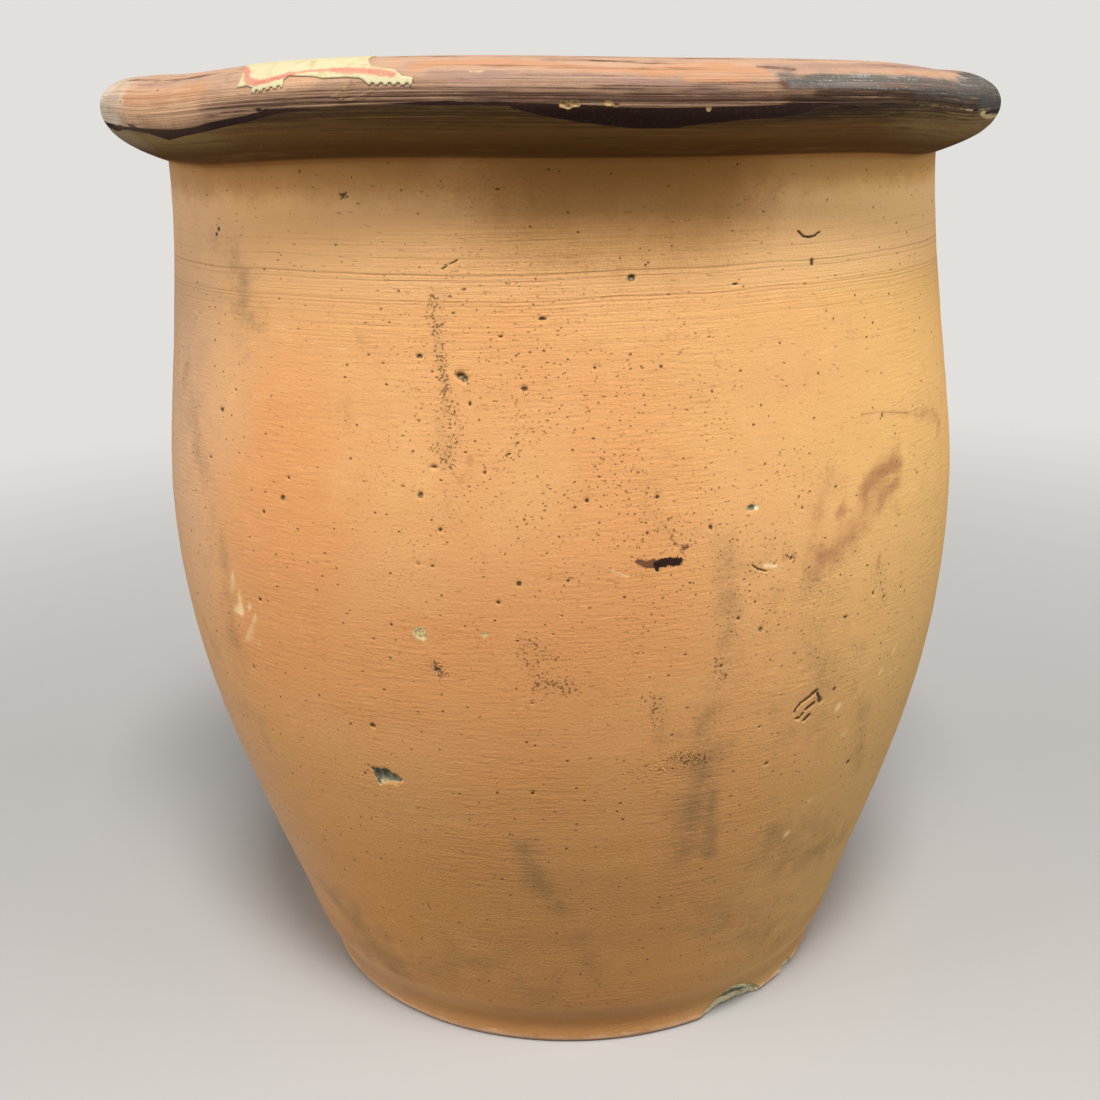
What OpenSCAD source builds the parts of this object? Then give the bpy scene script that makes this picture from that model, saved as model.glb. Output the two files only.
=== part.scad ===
// Thrown clay pot with a rolled rim, a chipped foot and the remains of a paper label.
// It stands on the middle of its foot. +Z is up, and -Y is the side with the label on its left.

/* [Pot] */
// Height from the foot to the crest of the rim
pot_h = 322; // [280:1:400]
// Width across the rolled rim
rim_d = 300; // [284:1:330]
// Width across the crest of the rim
crest_d = 272; // [262:1:278]
// Width of the neck under the rim
neck_d = 261; // [250:1:270]
// Width of the belly
belly_d = 281.4; // [264:0.1:310]
// Height of the widest part of the belly
belly_z = 182; // [140:1:210]
// Width at the bottom of the flank
flank_d = 206; // [196:1:230]
// Height at which the flank starts
flank_z = 20; // [17:0.5:30]
// Lean of the flank where it starts, in degrees from upright
flank_lean = 17.5; // [10:0.5:24]
// Width of the foot
foot_d = 192; // [176:1:194]
// Height of the upright band round the foot
foot_band = 5; // [3:0.5:8]
// Width of the worn edge under the foot
foot_edge = 1.5; // [0.5:0.1:2.5]

/* [Rim] */
// Height of the rim, from the corner at the neck to the crest
rim_h = 26; // [20:0.5:34]
// Height of the crest over the widest part of the rim
rim_top = 10; // [7:0.5:13]
// Depth of the rounding inside the mouth
lip_drop = 16; // [8:0.5:18]

/* [Wall] */
// Thickness of the wall, measured level
wall = 9; // [6:0.5:12]
// Thickness of the floor
floor_t = 12; // [8:0.5:15]
// Width of the rounding where the wall meets the floor
floor_round = 14; // [6:0.5:24]

/* [Foot chips] */
// Place of the large chip, in degrees to the right of the front
chip_at = 35.5; // [0:0.5:45]
// Height of the large chip
chip_h = 8.5; // [5:0.5:12]
// Depth of the large chip
chip_deep = 4; // [2.5:0.5:5]
// Radius of the hollow left by the large chip
chip_round = 60; // [30:1:80]
// Place of the small chip, in degrees to the right of the front
nick_at = 55; // [50:0.5:90]
// Height of the small chip
nick_h = 4.5; // [2.5:0.5:6]
// Depth of the small chip
nick_deep = 2; // [1:0.5:3]
// Radius of the hollow left by the small chip
nick_round = 12; // [8:1:20]

/* [Label scrap] */
// Place of the scrap, in degrees to the left of the front
label_at = 25.5; // [10:0.5:80]
// Thickness of the paper with its gum
paper_t = 0.3; // [0.2:0.05:0.5]
// Distance from one tooth of the perforated edge to the next
tooth_pitch = 2.2; // [1.6:0.1:3]
// Width of a perforation hole
tooth_hole = 1.2; // [0.8:0.1:1.5]

/* [Hidden] */
$fn = 96;

foot_r = foot_d / 2;
flank_r = flank_d / 2;
belly_r = belly_d / 2;
neck_r = neck_d / 2;
rim_r = rim_d / 2;
crest_r = crest_d / 2;
bore_r = neck_r - wall;
neck_z = pot_h - rim_h;
rim_z = pot_h - rim_top;

// How far each curve keeps its first direction, as a share of the height that it spans
cove_pull = 0.4;
flank_pull = 0.35;
below_belly_pull = 0.41;
above_belly_pull = 0.28;
neck_pull = 0.38;
under_rim_pull = [0.51, 0.22];
into_rim_pull = 0.53;
over_rim_pull = [0.756, 0.65];
into_lip_pull = [0.62, 0.6];

// Segments in a long curve and in a short one
long_n = 18;
short_n = 10;

// Points along a curve that leaves a towards b and comes to d from c, without a itself
function curve(a, b, c, d, n) = [
    for (i = [1:n]) let (t = i / n, s = 1 - t)
        s * s * s * a + 3 * s * s * t * b + 3 * s * t * t * c + t * t * t * d
];

// A point on the flank's line that lies rise above its start, set in from the outside by inset
function flank_point(rise, inset) = [flank_r - inset + rise * tan(flank_lean), flank_z + rise];

// Foot, with a worn edge, an upright band and a cove that runs into the flank
function foot_outline() = let (cove_h = flank_z - foot_band) concat(
    [[0, 0], [foot_r - foot_edge, 0], [foot_r, foot_edge], [foot_r, foot_band]],
    curve([foot_r, foot_band], [foot_r, foot_band + cove_pull * cove_h],
        flank_point(-cove_pull * cove_h, 0), flank_point(0, 0), short_n)
);

// Flank from its start up to the belly
function flank_outline(inset) = let (h = belly_z - flank_z) curve(
    flank_point(0, inset), flank_point(flank_pull * h, inset),
    [belly_r - inset, belly_z - below_belly_pull * h], [belly_r - inset, belly_z], long_n
);

// Shoulder from the belly up to the neck
function shoulder_outline(inset) = let (h = neck_z - belly_z) curve(
    [belly_r - inset, belly_z], [belly_r - inset, belly_z + above_belly_pull * h],
    [neck_r - inset, neck_z - neck_pull * h], [neck_r - inset, neck_z], long_n
);

// Underside of the rim, from the neck out to the widest part
function under_rim() = let (w = rim_r - neck_r, h = rim_z - neck_z) curve(
    [neck_r, neck_z], [neck_r + under_rim_pull[0] * w, neck_z + under_rim_pull[1] * h],
    [rim_r, rim_z - into_rim_pull * h], [rim_r, rim_z], short_n
);

// Top of the rim, from the widest part to the crest
function over_rim() = curve(
    [rim_r, rim_z], [rim_r, rim_z + over_rim_pull[1] * rim_top],
    [crest_r + over_rim_pull[0] * rim_top, pot_h], [crest_r, pot_h], short_n
);

// Inside of the rim, from the crest down to the bore
function lip_outline() = let (w = crest_r - bore_r) curve(
    [crest_r, pot_h], [crest_r - into_lip_pull[0] * w, pot_h],
    [bore_r, pot_h - lip_drop + into_lip_pull[1] * lip_drop], [bore_r, pot_h - lip_drop], short_n
);

// Hollow, from the bore down the wall and across the floor
function reversed(points) = [for (i = [len(points) - 1:-1:0]) points[i]];
function hollow_outline() = let (
    corner_h = flank_z - floor_t,
    corner = flank_point(-corner_h / 2, wall)
) concat(
    reversed(shoulder_outline(wall)), reversed(flank_outline(wall)), [flank_point(0, wall)],
    curve(flank_point(0, wall), corner, [corner[0] - floor_round / 4, floor_t],
        [flank_r - wall - floor_round, floor_t], short_n),
    [[0, floor_t]]
);

// The hollow that a flake leaves in the foot: it is high up the foot and deep under it
module flake(at, high, deep, radius) {
    slope = atan2(deep, high);
    reach = sqrt(pow(radius, 2) - (pow(high, 2) + pow(deep, 2)) / 4);
    rotate([0, 0, at - 90])
        translate([foot_r - deep / 2 + reach * cos(slope), 0, high / 2 - reach * sin(slope)])
            sphere(radius);
}

module pot() {
    color("#cf8d52")
        difference() {
            rotate_extrude()
                polygon(concat(foot_outline(), flank_outline(0), shoulder_outline(0),
                    under_rim(), over_rim(), lip_outline(), hollow_outline()));
            flake(chip_at, chip_h, chip_deep, chip_round);
            flake(nick_at, nick_h, nick_deep, nick_round);
        }
}

// Middle of the scrap, as shares of the way in and of the way up from the widest part to the crest
label_way = [0.214, 0.5];
label_r = rim_r - label_way[0] * (rim_r - crest_r);
label_z = rim_z + label_way[1] * rim_top;

// Tilt of its face, which leans this much further out than the top of the rim does
label_lean = 14.5;
label_tilt = atan2(rim_r - crest_r, rim_top) - label_lean;

// How deep its outline cuts through the paper, and how far round the rim the paper goes
label_reach = rim_top;
label_span = 34;

// The same line, set off to its right by a thickness
function set_off(line, by) = [
    for (i = [0:len(line) - 1])
        let (way = line[min(i + 1, len(line) - 1)] - line[max(i - 1, 0)])
            line[i] + by * [way[1], -way[0]] / norm(way)
];

// Section of the paper, which lies on the top of the rim
function paper_outline() = let (line = concat([[rim_r, rim_z]], over_rim()))
    concat(line, reversed(set_off(line, paper_t)));

// Torn outline of the scrap, seen square on: x runs round the rim, and y up to the crest
torn_left = [[-24.5, 13], [-23.8, 7.7], [-20.8, 1.4], [-21, -0.7], [-21.6, -1.7], [-18.2, -1.7],
    [-15.6, -2.5], [-16.2, -3.2]];
teeth_left = [[-15.4, -3.8], [-6, -3.2]];
torn_below = [[-6, -1.1], [-4.7, 0], [1, -0.5], [3.9, -0.8], [5.7, -1.3], [13, -1], [16.6, -1.1],
    [17.7, -1.6]];
teeth_right = [[19.3, -2.7], [30.6, -1.8]];
torn_right = [[30.7, 0.2], [27.9, 0.2], [25.4, 1.9], [22, 2.2], [18.3, 2.9], [15.6, 6.5], [13.6, 13]];

// Perforation holes along the edge from one end to the other
module perforations(edge) {
    run = edge[1] - edge[0];
    count = floor(norm(run) / tooth_pitch);
    for (i = [1:count])
        translate(edge[0] + run * (i - 0.5) / count)
            circle(d = tooth_hole);
}

module torn_outline() {
    difference() {
        polygon(concat(torn_left, teeth_left, torn_below, teeth_right, torn_right));
        perforations(teeth_left);
        perforations(teeth_right);
    }
}

module label_scrap() {
    color("#f4ecb8")
        intersection() {
            rotate([0, 0, -label_at - 90 - label_span / 2])
                rotate_extrude(angle = label_span)
                    polygon(paper_outline());
            rotate([0, 0, -label_at])
                translate([0, -label_r, label_z])
                    rotate([90 - label_tilt, 0, 0])
                        translate([0, 0, -label_reach])
                            linear_extrude(2 * label_reach)
                                torn_outline();
        }
}

pot();
label_scrap();
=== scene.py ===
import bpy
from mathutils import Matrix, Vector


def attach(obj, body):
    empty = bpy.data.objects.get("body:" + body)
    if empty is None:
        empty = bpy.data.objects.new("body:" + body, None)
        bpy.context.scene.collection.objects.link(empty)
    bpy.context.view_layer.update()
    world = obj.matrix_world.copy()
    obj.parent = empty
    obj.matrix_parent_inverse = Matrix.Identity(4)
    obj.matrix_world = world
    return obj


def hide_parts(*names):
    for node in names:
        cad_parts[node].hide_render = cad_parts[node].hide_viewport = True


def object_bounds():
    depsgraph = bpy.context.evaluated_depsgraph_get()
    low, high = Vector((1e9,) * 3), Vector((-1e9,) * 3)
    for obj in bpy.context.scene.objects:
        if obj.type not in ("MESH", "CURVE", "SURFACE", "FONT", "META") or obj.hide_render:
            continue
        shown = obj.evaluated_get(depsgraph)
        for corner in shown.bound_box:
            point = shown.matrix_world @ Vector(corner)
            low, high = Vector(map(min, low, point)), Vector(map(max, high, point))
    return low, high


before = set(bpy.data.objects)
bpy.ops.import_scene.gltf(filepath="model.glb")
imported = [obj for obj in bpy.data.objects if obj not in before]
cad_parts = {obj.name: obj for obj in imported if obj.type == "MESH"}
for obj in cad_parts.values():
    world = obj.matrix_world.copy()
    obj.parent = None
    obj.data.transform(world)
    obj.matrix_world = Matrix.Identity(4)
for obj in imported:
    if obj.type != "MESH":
        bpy.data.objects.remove(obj)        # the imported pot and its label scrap, in metres
cad_box = [list(corner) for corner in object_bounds()]

import math

import bmesh
import bpy
import numpy as np
from mathutils import Matrix, Vector, noise

bl_info = {
    "name": "Clay pot",
    "version": (1, 0, 0),
    "blender": (4, 5, 0),
    "location": "3D View > Sidebar > Clay pot",
    "description": "A thrown clay pot with a glazed rim, its torn paper label and a studio round it",
    "category": "Add Mesh",
}

# Lengths below are in millimetres, and angles in degrees. An azimuth of 0 is the front of the pot,
# towards -Y, and it grows to the right. A height is measured before the pot leans or its rim warps.
MM = 0.001
SEED = 7

# Size of a mesh cell, up each part of the pot
BASE_CELL = 24.0
FOOT_CELL = 1.3
FLANK_CELL = 3.0
SHOULDER_CELL = 1.7
RIM_CELL = 1.0
LIP_CELL = 2.5
INSIDE_CELL = 10.0

# Heights at which the cells change
FLANK_FROM = 20.0
SHOULDER_FROM = 245.0
NECK = 296.0

# A sharper turn than this in the outline is a corner, and this is how finely the outline is drawn
SHARP_TURN = 30.0
LINE_STEP = 0.1

# How far round each small mark the cells are split, and with how many cuts, and the same for cracks
SPLITS = ((3.6, 2), (1.1, 1))
CRACK_SPLIT = (0.5, 1)

# Longest edge of the paper's cells, its thickness, and how far it stands off the glaze
PAPER_CELL = 0.9
PAPER_THICK = 0.3
PAPER_GAP = 0.02

# Radius at which a skin coordinate is as long as the surface round the pot
SKIN_RADIUS = 136.0

# Vertices of a CAD node that lie closer than this are one, in metres
WELD = 1e-6

# The floor's radius, and how far out it starts and ends to fade into the backdrop, in metres
FLOOR_RADIUS = 6.0
FLOOR_FADE = (0.25, 1.1)

# The soft lamps: side in metres, azimuth, height in degrees, and distance in metres
LAMPS = {"key": (0.75, 5, 60, 2.6), "right": (1.6, 70, 22, 2.4), "left": (1.6, -72, 18, 2.4)}
LAMP_AIM = 0.16

# Flakes off the foot: azimuth, height, depth, radius of the hollow
FLAKES = ((35.5, 8.5, 4, 60), (55, 4.5, 2, 12))

# Rings that the thrower's rib cut, and grooves in the rim's side: height and depth
RINGS = (
    (276.4, 0.2), (272.2, 0.3), (267.6, 0.75), (266, 0.45), (260.7, 0.55), (259.6, 0.35), (258.4, 0.15),
    (256.8, 0.2), (253.9, 0.2),
)
RIM_LINES = ((311, 0.8), (311.9, 0.6), (312.9, 0.45), (314, 0.35), (315.3, 0.25), (317.3, 0.15))

# Pits in the clay: azimuth, height, half width, half height, depth
PITS = (
    (-11.9, 240.8, 1.7, 1.1, 1.1), (-11.4, 240, 1.1, 1.1, 1), (8.5, 265.8, 1.1, 0.9, 0.7),
    (-2.1, 255.8, 1.3, 0.5, 0.5), (-4.4, 237.3, 1.2, 0.6, 0.5), (-16.9, 245.8, 1, 0.8, 0.6),
    (-15.2, 215.8, 1.4, 0.6, 0.6), (-16.9, 207.8, 0.9, 1, 0.6), (-14.6, 198.2, 0.8, 0.7, 0.5),
    (-36.5, 202.6, 0.9, 0.8, 0.6), (-40.1, 197.2, 0.7, 0.6, 0.5), (-49.2, 225, 1.1, 0.8, 0.6),
    (-52.1, 209.5, 0.9, 0.4, 0.5), (-42.4, 168.3, 0.8, 0.6, 0.5), (-46.7, 142.8, 0.5, 1.1, 0.4),
    (-5.6, 183.2, 0.8, 0.8, 0.4), (-8.1, 177.5, 0.7, 0.6, 0.4), (10.5, 206.4, 0.7, 0.6, 0.4),
    (33, 266.8, 0.7, 1.2, 0.6), (24.6, 130.3, 0.7, 0.5, 0.4), (44.1, 103.4, 0.8, 0.8, 0.6),
    (-26, 133.7, 1, 0.7, 0.6), (-4.7, 145.9, 0.8, 0.4, 0.4), (25.2, 183, 0.6, 0.4, 0.3),
    (45, 162.2, 0.7, 0.6, 0.4), (42.3, 165.2, 0.6, 0.6, 0.4), (49.3, 162.7, 0.7, 0.6, 0.4),
    (-50.1, 278.6, 0.7, 0.7, 0.4), (-50.8, 277, 0.7, 0.5, 0.4), (27.6, 183.9, 0.9, 0.6, 0.4),
    (26.6, 115.8, 0.9, 0.7, 0.5), (-5.3, 114.5, 0.7, 0.5, 0.4), (37, 160.5, 1.1, 0.4, 0.4),
    (-35.5, 208.9, 0.7, 0.6, 0.4), (16.8, 196.5, 0.7, 0.7, 0.4), (21.5, 262.6, 1.2, 0.4, 0.4),
    (2.4, 206.5, 0.6, 0.6, 0.4), (-57.9, 314.3, 0.6, 0.4, 0.3), (-48.3, 317.3, 0.5, 0.4, 0.3),
    (-7, 251.3, 0.9, 0.4, 0.4), (-10.8, 233.3, 0.5, 0.8, 0.4), (3.8, 242.4, 0.6, 0.5, 0.4),
    (-9.2, 214.6, 0.6, 0.6, 0.4), (-6.3, 219.7, 0.8, 0.4, 0.3), (-17.5, 187.8, 0.8, 0.4, 0.4),
    (-15.7, 187.6, 0.8, 0.4, 0.4), (0, 183.9, 0.5, 0.5, 0.3), (-21.5, 168.6, 0.6, 0.5, 0.3),
    (-16, 155.6, 1.1, 0.9, 0.3), (-28.9, 114.9, 0.5, 0.7, 0.3), (18.4, 153.8, 0.7, 0.7, 0.3),
    (22.6, 172.4, 0.6, 0.5, 0.3), (20.4, 168.1, 0.7, 0.7, 0.4), (23.5, 163.5, 0.9, 0.9, 0.3),
    (29.3, 198.1, 0.6, 0.5, 0.3), (36.6, 136.4, 0.7, 0.7, 0.3), (9.2, 196.5, 0.5, 0.5, 0.3),
    (-42.4, 203, 0.5, 0.4, 0.3), (-46, 232, 0.6, 0.5, 0.3), (44.4, 219.6, 0.5, 0.9, 0.3),
    (-26.4, 287.9, 0.9, 0.8, 0.3),
)

# Holes where a stone broke out, each as the spots that it is made of
STONE_PITS = (
    (-26.6, 115.6, 1.7, 2.6, 1.3), (-25.4, 116, 2.2, 2.4, 1.6), (-24.2, 115.6, 1.7, 1.5, 1.2),
    (-23.4, 115.1, 1, 0.6, 0.8), (-26.8, 113.2, 0.7, 1.6, 0.7), (-27.3, 117.4, 0.7, 0.7, 0.8),
    (22.1, 200.6, 1.2, 0.8, 0.7), (22.8, 200.4, 0.7, 0.6, 0.5),
)

# Dark parts of the broken places: the places each runs through, and its half width
SHADES = (
    (((29.7, 7.8), (38.4, 5.2)), 1.2), (((-27.2, 116.6), (-25.6, 116.2), (-24.2, 115.7)), 2.3),
    (((-26.9, 115), (-26.7, 112.8)), 0.8), (((21.8, 200.8), (22.2, 200.6)), 0.8),
)

# Painted light and shade round the foot, which evens out the shading where it curves in: a lighter band over
# the shaded inward curve, and darker bands over the lit ridge above it and the lit band below it. Each has
# its tint, strength, heights between which it comes and goes, and waver
FOOT_BANDS = (
    ("foot band", 0.4, 9, 13, 17, 21, 1.5), ("foot shade", 0.3, 1.5, 3.5, 7, 10, 1.5),
    ("cove", 0.12, 17, 22, 26, 32, 2),
)

# Thin cracks, nicks and scratches: the places each runs through, its half width and its depth
CRACKS = (
    (((31, 275.6), (31.8, 274.1), (32.8, 273.6), (33.7, 274), (34.5, 274.9)), 0.34, 0.6),
    (((32, 273.9), (33.5, 273.8)), 0.3, 0.5), (((-27, 288.4), (-25.8, 287.5)), 0.3, 0.2),
    (((-26.8, 287.1), (-26.1, 288.7)), 0.3, 0.2), (((-13.9, 269.2), (-13.3, 270)), 0.35, 0.2),
    (((-12.9, 270.5), (-12, 271.5)), 0.3, 0.2), (((22.1, 183.7), (22.9, 182.2), (24.1, 181.1)), 0.26, 0.3),
    (((32.5, 137), (33.2, 137.8)), 0.85, 0.4), (((32.4, 136.6), (31.5, 135.7)), 0.75, 0.4),
    (((31.4, 135.6), (30.7, 135), (30.1, 133.4), (29.9, 132.6)), 0.5, 0.4),
    (((33.5, 136.8), (34.1, 134.1)), 0.52, 0.4), (((34, 134.5), (34.2, 133.7)), 0.95, 0.4),
    (((33.1, 133.6), (31.9, 132.3)), 0.7, 0.4), (((32.6, 129.7), (31.8, 128.4)), 0.7, 0.4),
    (((31.4, 131), (31.2, 130.5)), 0.6, 0.4), (((30.5, 129.9), (30.9, 129.7)), 0.65, 0.4),
    (((-24.4, 63), (-24.1, 60)), 0.28, 0.1), (((5.3, 185.8), (6.3, 184.5)), 0.2, 0.1),
    (((40.2, 221.5), (44.7, 220.4), (52.3, 217.2)), 0.24, 0.05),
)

# Cream chips in the glaze and lime spots: azimuth, height, half width, half height, depth
PALE_SPOTS = (
    (0.8, 310.2, 1, 0.8, 0.5), (1.9, 310.3, 1.2, 0.8, 0.5), (1.2, 309.6, 0.8, 0.5, 0.4),
    (5.1, 310.6, 1.1, 0.8, 0.4), (5.8, 310, 0.8, 0.5, 0.4), (14.9, 309.4, 0.6, 0.9, 0.2),
    (-17.9, 166.9, 1.9, 1.6, 0.3), (-17.6, 165.8, 1.3, 1.2, 0.3), (-9.9, 167.6, 0.8, 0.8, 0.2),
    (-52.4, 310.2, 0.6, 0.4, 0.1), (-58, 309.9, 1.2, 0.25, 0.1), (-26.2, 113.1, 1.6, 0.45, 0.5),
    (-24.4, 113.9, 1.4, 0.4, 0.5), (55.8, 2.3, 2.8, 1.8, 0), (52.4, 1.2, 2.2, 0.8, 0),
    (42, 3.4, 2.4, 0.9, 0),
)

# Soft pale drips and specks of lime: the places each runs through, its half width, its strength
LIME = (
    (((42.6, 1.6), (47, 1), (51, 1.4), (55, 2)), 1.3, 0.9), (((-48.3, 173.1), (-48.6, 168.2)), 1, 1),
    (((-46.8, 169.8), (-47.2, 164.2)), 0.9, 0.5), (((-47.2, 164.2), (-48.7, 160.9), (-47, 161.5)), 1, 0.85),
    (((-45.3, 166), (-44.3, 163.2), (-44.2, 160.6), (-45, 156.7), (-46.7, 153.3)), 0.7, 0.9),
    (((-46.9, 153.6), (-46.5, 152.9)), 1.2, 0.9), (((-44.6, 152.4), (-43.9, 152)), 0.9, 0.6),
    (((43, 140.4), (44, 139.6)), 1.4, 0.5), (((47, 134.2), (47.4, 133)), 0.8, 0.8),
    (((50, 142), (50.2, 140.6)), 0.8, 0.8), (((38, 128.9), (38.3, 128.6)), 1.2, 0.7),
    (((40.6, 117), (40.8, 116.6)), 1.3, 0.7), (((37.2, 93.2), (37.3, 92.9)), 1.3, 0.8),
    (((34, 82.8), (34.2, 82.4)), 1.3, 0.8), (((49.5, 98.2), (49.7, 97.6)), 1, 0.6),
    (((54.5, 115.4), (54.6, 114.9)), 0.8, 0.7), (((23.9, 182.9), (25.4, 182.3)), 0.7, 0.7),
    (((23.3, 219.6), (23.5, 219.3)), 1.3, 0.6), (((5.1, 186.3), (6.2, 184.9), (7.4, 183.9)), 0.3, 0.75),
)

# Brush marks of thin purple slip: the places each runs through, its half width and its strength
SMEARS = (
    (((47.7, 203.4), (43.9, 203.6), (41.1, 201.6), (39.5, 198.6), (40.2, 195.8)), 2.5, 0.9),
    (((47.2, 204.6), (44.5, 203)), 2.8, 0.7),
    (((46.9, 198.4), (44.4, 196.3), (43.4, 194.3), (42.7, 191.9)), 2.2, 0.9),
    (((48, 208.3), (45.9, 206.4), (43.9, 203.9)), 1.6, 0.6),
    (((45.4, 201.2), (40.9, 194.3), (37.8, 188.4), (35.4, 182.6), (32.1, 180.4)), 5.5, 0.48),
    (((36.2, 196), (35, 193.3)), 1.3, 1),
    (((35.8, 184.4), (33.6, 182.6), (31.6, 182.4), (32.3, 179.9)), 1.8, 0.8),
    (((33.5, 189.6), (31.2, 189.9), (31.4, 185.5), (34.5, 184)), 1, 0.6),
    (((33.6, 206.2), (31.5, 197.6), (30.8, 189.9)), 4.2, 0.38),
    (((40.2, 221.5), (44.7, 220.4), (52.3, 217.2)), 0.9, 0.45),
    (((53, 216.8), (60.5, 213.4), (63.3, 209.7), (61.4, 207.5)), 1.6, 0.62),
    (((43, 176.4), (42.9, 173)), 0.9, 0.7), (((-10.8, 219.4), (-11.4, 215.2), (-11.8, 212.4)), 0.9, 0.6),
)

# The thick dark blotch of glaze, and thinner brown dabs round it
BLOTCHES = (
    (11.2, 187.8, 3, 1.5, 4), (12.4, 187.6, 2.9, 1.4, 4), (10.5, 187.3, 1.9, 0.9, 10),
    (10.2, 186, 0.5, 1, 25),
)
DABS = (
    (((8, 189), (8.5, 187.9), (8.9, 187.6), (9.9, 188.1)), 0.75, 1),
    (((13.1, 190.7), (13.9, 191.7)), 0.8, 0.75), (((12.2, 195), (12.2, 193.6)), 0.7, 0.7),
    (((10.7, 190.3), (11.3, 191)), 0.4, 0.8), (((13.3, 189.6), (13.7, 188.8)), 0.6, 0.6),
    (((8.9, 33.8), (8.3, 30), (7.5, 25.8)), 0.8, 0.5), (((8.8, 187.2), (9.8, 186.6)), 0.5, 0.8),
)

# Soft streaks and clouds of old dirt: the places each runs through, its half width, its strength
GRIME = (
    (((19, 188), (19.6, 170), (18.4, 150), (16.6, 132)), 5.6, 0.55), (((9.6, 212), (12, 198)), 6.5, 0.3),
    (((30.6, 190), (29.5, 168), (28.6, 148)), 4, 0.36), (((17.6, 126), (16.4, 112), (16.4, 90)), 6.8, 0.72),
    (((18.8, 108), (19.2, 98), (19.9, 84)), 2.6, 0.8), (((43, 128), (46, 112), (48, 98)), 3.6, 0.55),
    (((31, 84), (36, 70), (44, 66)), 8, 0.6), (((-7.3, 93), (-5.4, 80), (-3.2, 68.5)), 4.4, 0.66),
    (((-1, 70), (2, 34)), 7, 0.3), (((30, 172), (34, 130)), 18, 0.42),
    (((-30, 30), (-14, 38), (-8, 28)), 11, 0.42), (((-46, 40), (-38, 20)), 12, 0.6),
    (((20, 60), (40, 30)), 13, 0.45), (((38, 84), (52, 60)), 10, 0.45),
    (((-14.2, 262), (-13, 200)), 3.4, 0.4), (((-58, 284), (-52, 272)), 5, 0.28),
    (((-45.5, 266), (-44, 258), (-43, 253)), 7, 0.55), (((-62, 232), (-57, 218), (-54.6, 204)), 6, 0.5),
    (((-50, 184), (-50, 150)), 6, 0.45), (((-62, 150), (-46, 110)), 9, 0.3),
    (((-27, 254), (-25, 200)), 4, 0.2), (((11, 145), (10.6, 128)), 2.6, 0.45),
    (((150, 240), (154, 150)), 5, 0.5), (((-120, 120), (-110, 60)), 12, 0.5),
    (((100, 90), (120, 40)), 14, 0.45),
)
SOOT = (
    (((-15.2, 262), (-15, 256), (-14.4, 248), (-13.6, 236)), 1.7, 0.75),
    (((-13.6, 236), (-12.4, 228), (-12.6, 222)), 2.4, 0.62),
    (((-15, 222), (-14, 218), (-13.2, 215.5)), 1.4, 0.8), (((-9, 236), (-4, 228), (-6, 220)), 5, 0.35),
    (((-1.8, 160), (-4.6, 166.3), (-5.5, 161.6), (-4, 157)), 2.4, 0.62),
    (((-3.8, 151.8), (0.4, 151)), 2, 0.9), (((-16.4, 157.5), (-15.6, 154.6)), 1.5, 1),
    (((43, 171), (45, 162)), 3.4, 0.5), (((18, 154.5), (18.6, 151)), 2.6, 0.6),
    (((7, 214), (12, 198)), 6, 0.32), (((13, 124.5), (17, 122)), 2.2, 0.85),
    (((9.6, 146), (10.4, 137)), 2.4, 0.55), (((26.6, 184.6), (28, 183.6)), 1.2, 0.9),
)

# Large clouds of pores: azimuth, height, half width and half height
PORE_CLOUDS = ((0, 214, 52, 48), (20, 190, 38, 42), (140, 210, 50, 50), (-120, 190, 40, 50))

# Large clouds of clay of another colour: strength, azimuth, height, half width and half height
CLOUDS = {
    "flash": ((1, -38, 185, 40, 60), (0.8, -4, 160, 64, 70), (1, 120, 150, 70, 50)),
    "yellow": ((1, 60, 230, 70, 110), (1, -150, 250, 60, 70)),
    "moss": ((1, 62, 76, 58, 90), (0.9, 44, 8, 34, 26), (1, -160, 80, 60, 60)),
    "ash": ((1, -74, 240, 54, 110), (0.9, -70, 80, 44, 80), (0.7, -56, 12, 40, 26), (0.5, 90, 60, 60, 60)),
}

# Scuffed places, where the surface was dragged and torn while it was soft
SCUFFS = ((((14.8, 124), (11.4, 121.6), (8.5, 119)), 2.6, 1), (((-15.4, 107), (-10, 98)), 6, 0.42))

# Lower and upper edge of the dark glaze under the rim's widest part: azimuth, height, height
GLAZE_BAND = (
    (-180, 307.5, 311), (-150, 309, 312), (-125, 306.4, 310.5), (-95, 308.4, 310.5), (-75, 306.5, 308.5),
    (-67, 305.9, 307.6), (-63.5, 305.3, 307.5), (-60.9, 306, 307.3), (-57.4, 306.5, 307.3),
    (-53.7, 306.2, 307.3), (-51.8, 305.8, 307.2), (-48.2, 303.9, 306.9), (-44.3, 304.8, 306.6),
    (-41.1, 305.2, 306.8), (-38.9, 305.6, 307.5), (-33.1, 306.9, 308.4), (-30.3, 307.9, 309.4),
    (-27.5, 308.9, 309.7), (-22.7, 309.2, 309.8), (-18.4, 309.4, 310), (-15, 309.6, 310.1),
    (-9.1, 309.9, 310.4), (-7, 310, 310.6), (-4.4, 309.3, 310.4), (-3, 308.4, 310.3), (-1.2, 307.4, 310.3),
    (1.2, 306.4, 310.2), (4.1, 305.4, 309.8), (8, 304.6, 309.4), (12, 304.8, 309.4), (15, 305.6, 309.5),
    (18.4, 306.5, 309.7), (22.8, 307, 310.1), (25, 307.7, 310.3), (26.7, 308.6, 310.4), (27.4, 310, 310.4),
    (31, 310.1, 310.5), (38, 310.3, 310.7), (44, 310.6, 310.9), (51, 310.8, 311), (60, 309, 309.3),
    (80, 307, 310), (100, 305, 310), (130, 308, 311), (155, 305, 310), (180, 307.5, 311),
)
GLAZE_LINES = (
    (((-60, 308), (-45.7, 308.4), (-38.4, 309), (-32.4, 309.8), (-27.3, 310.9)), 0.35, 0.58),
    (((27.4, 310.4), (28.6, 309.6), (31, 309.1), (35, 309.8), (38.1, 310.3), (41.4, 311)), 0.3, 0.9),
)

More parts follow.
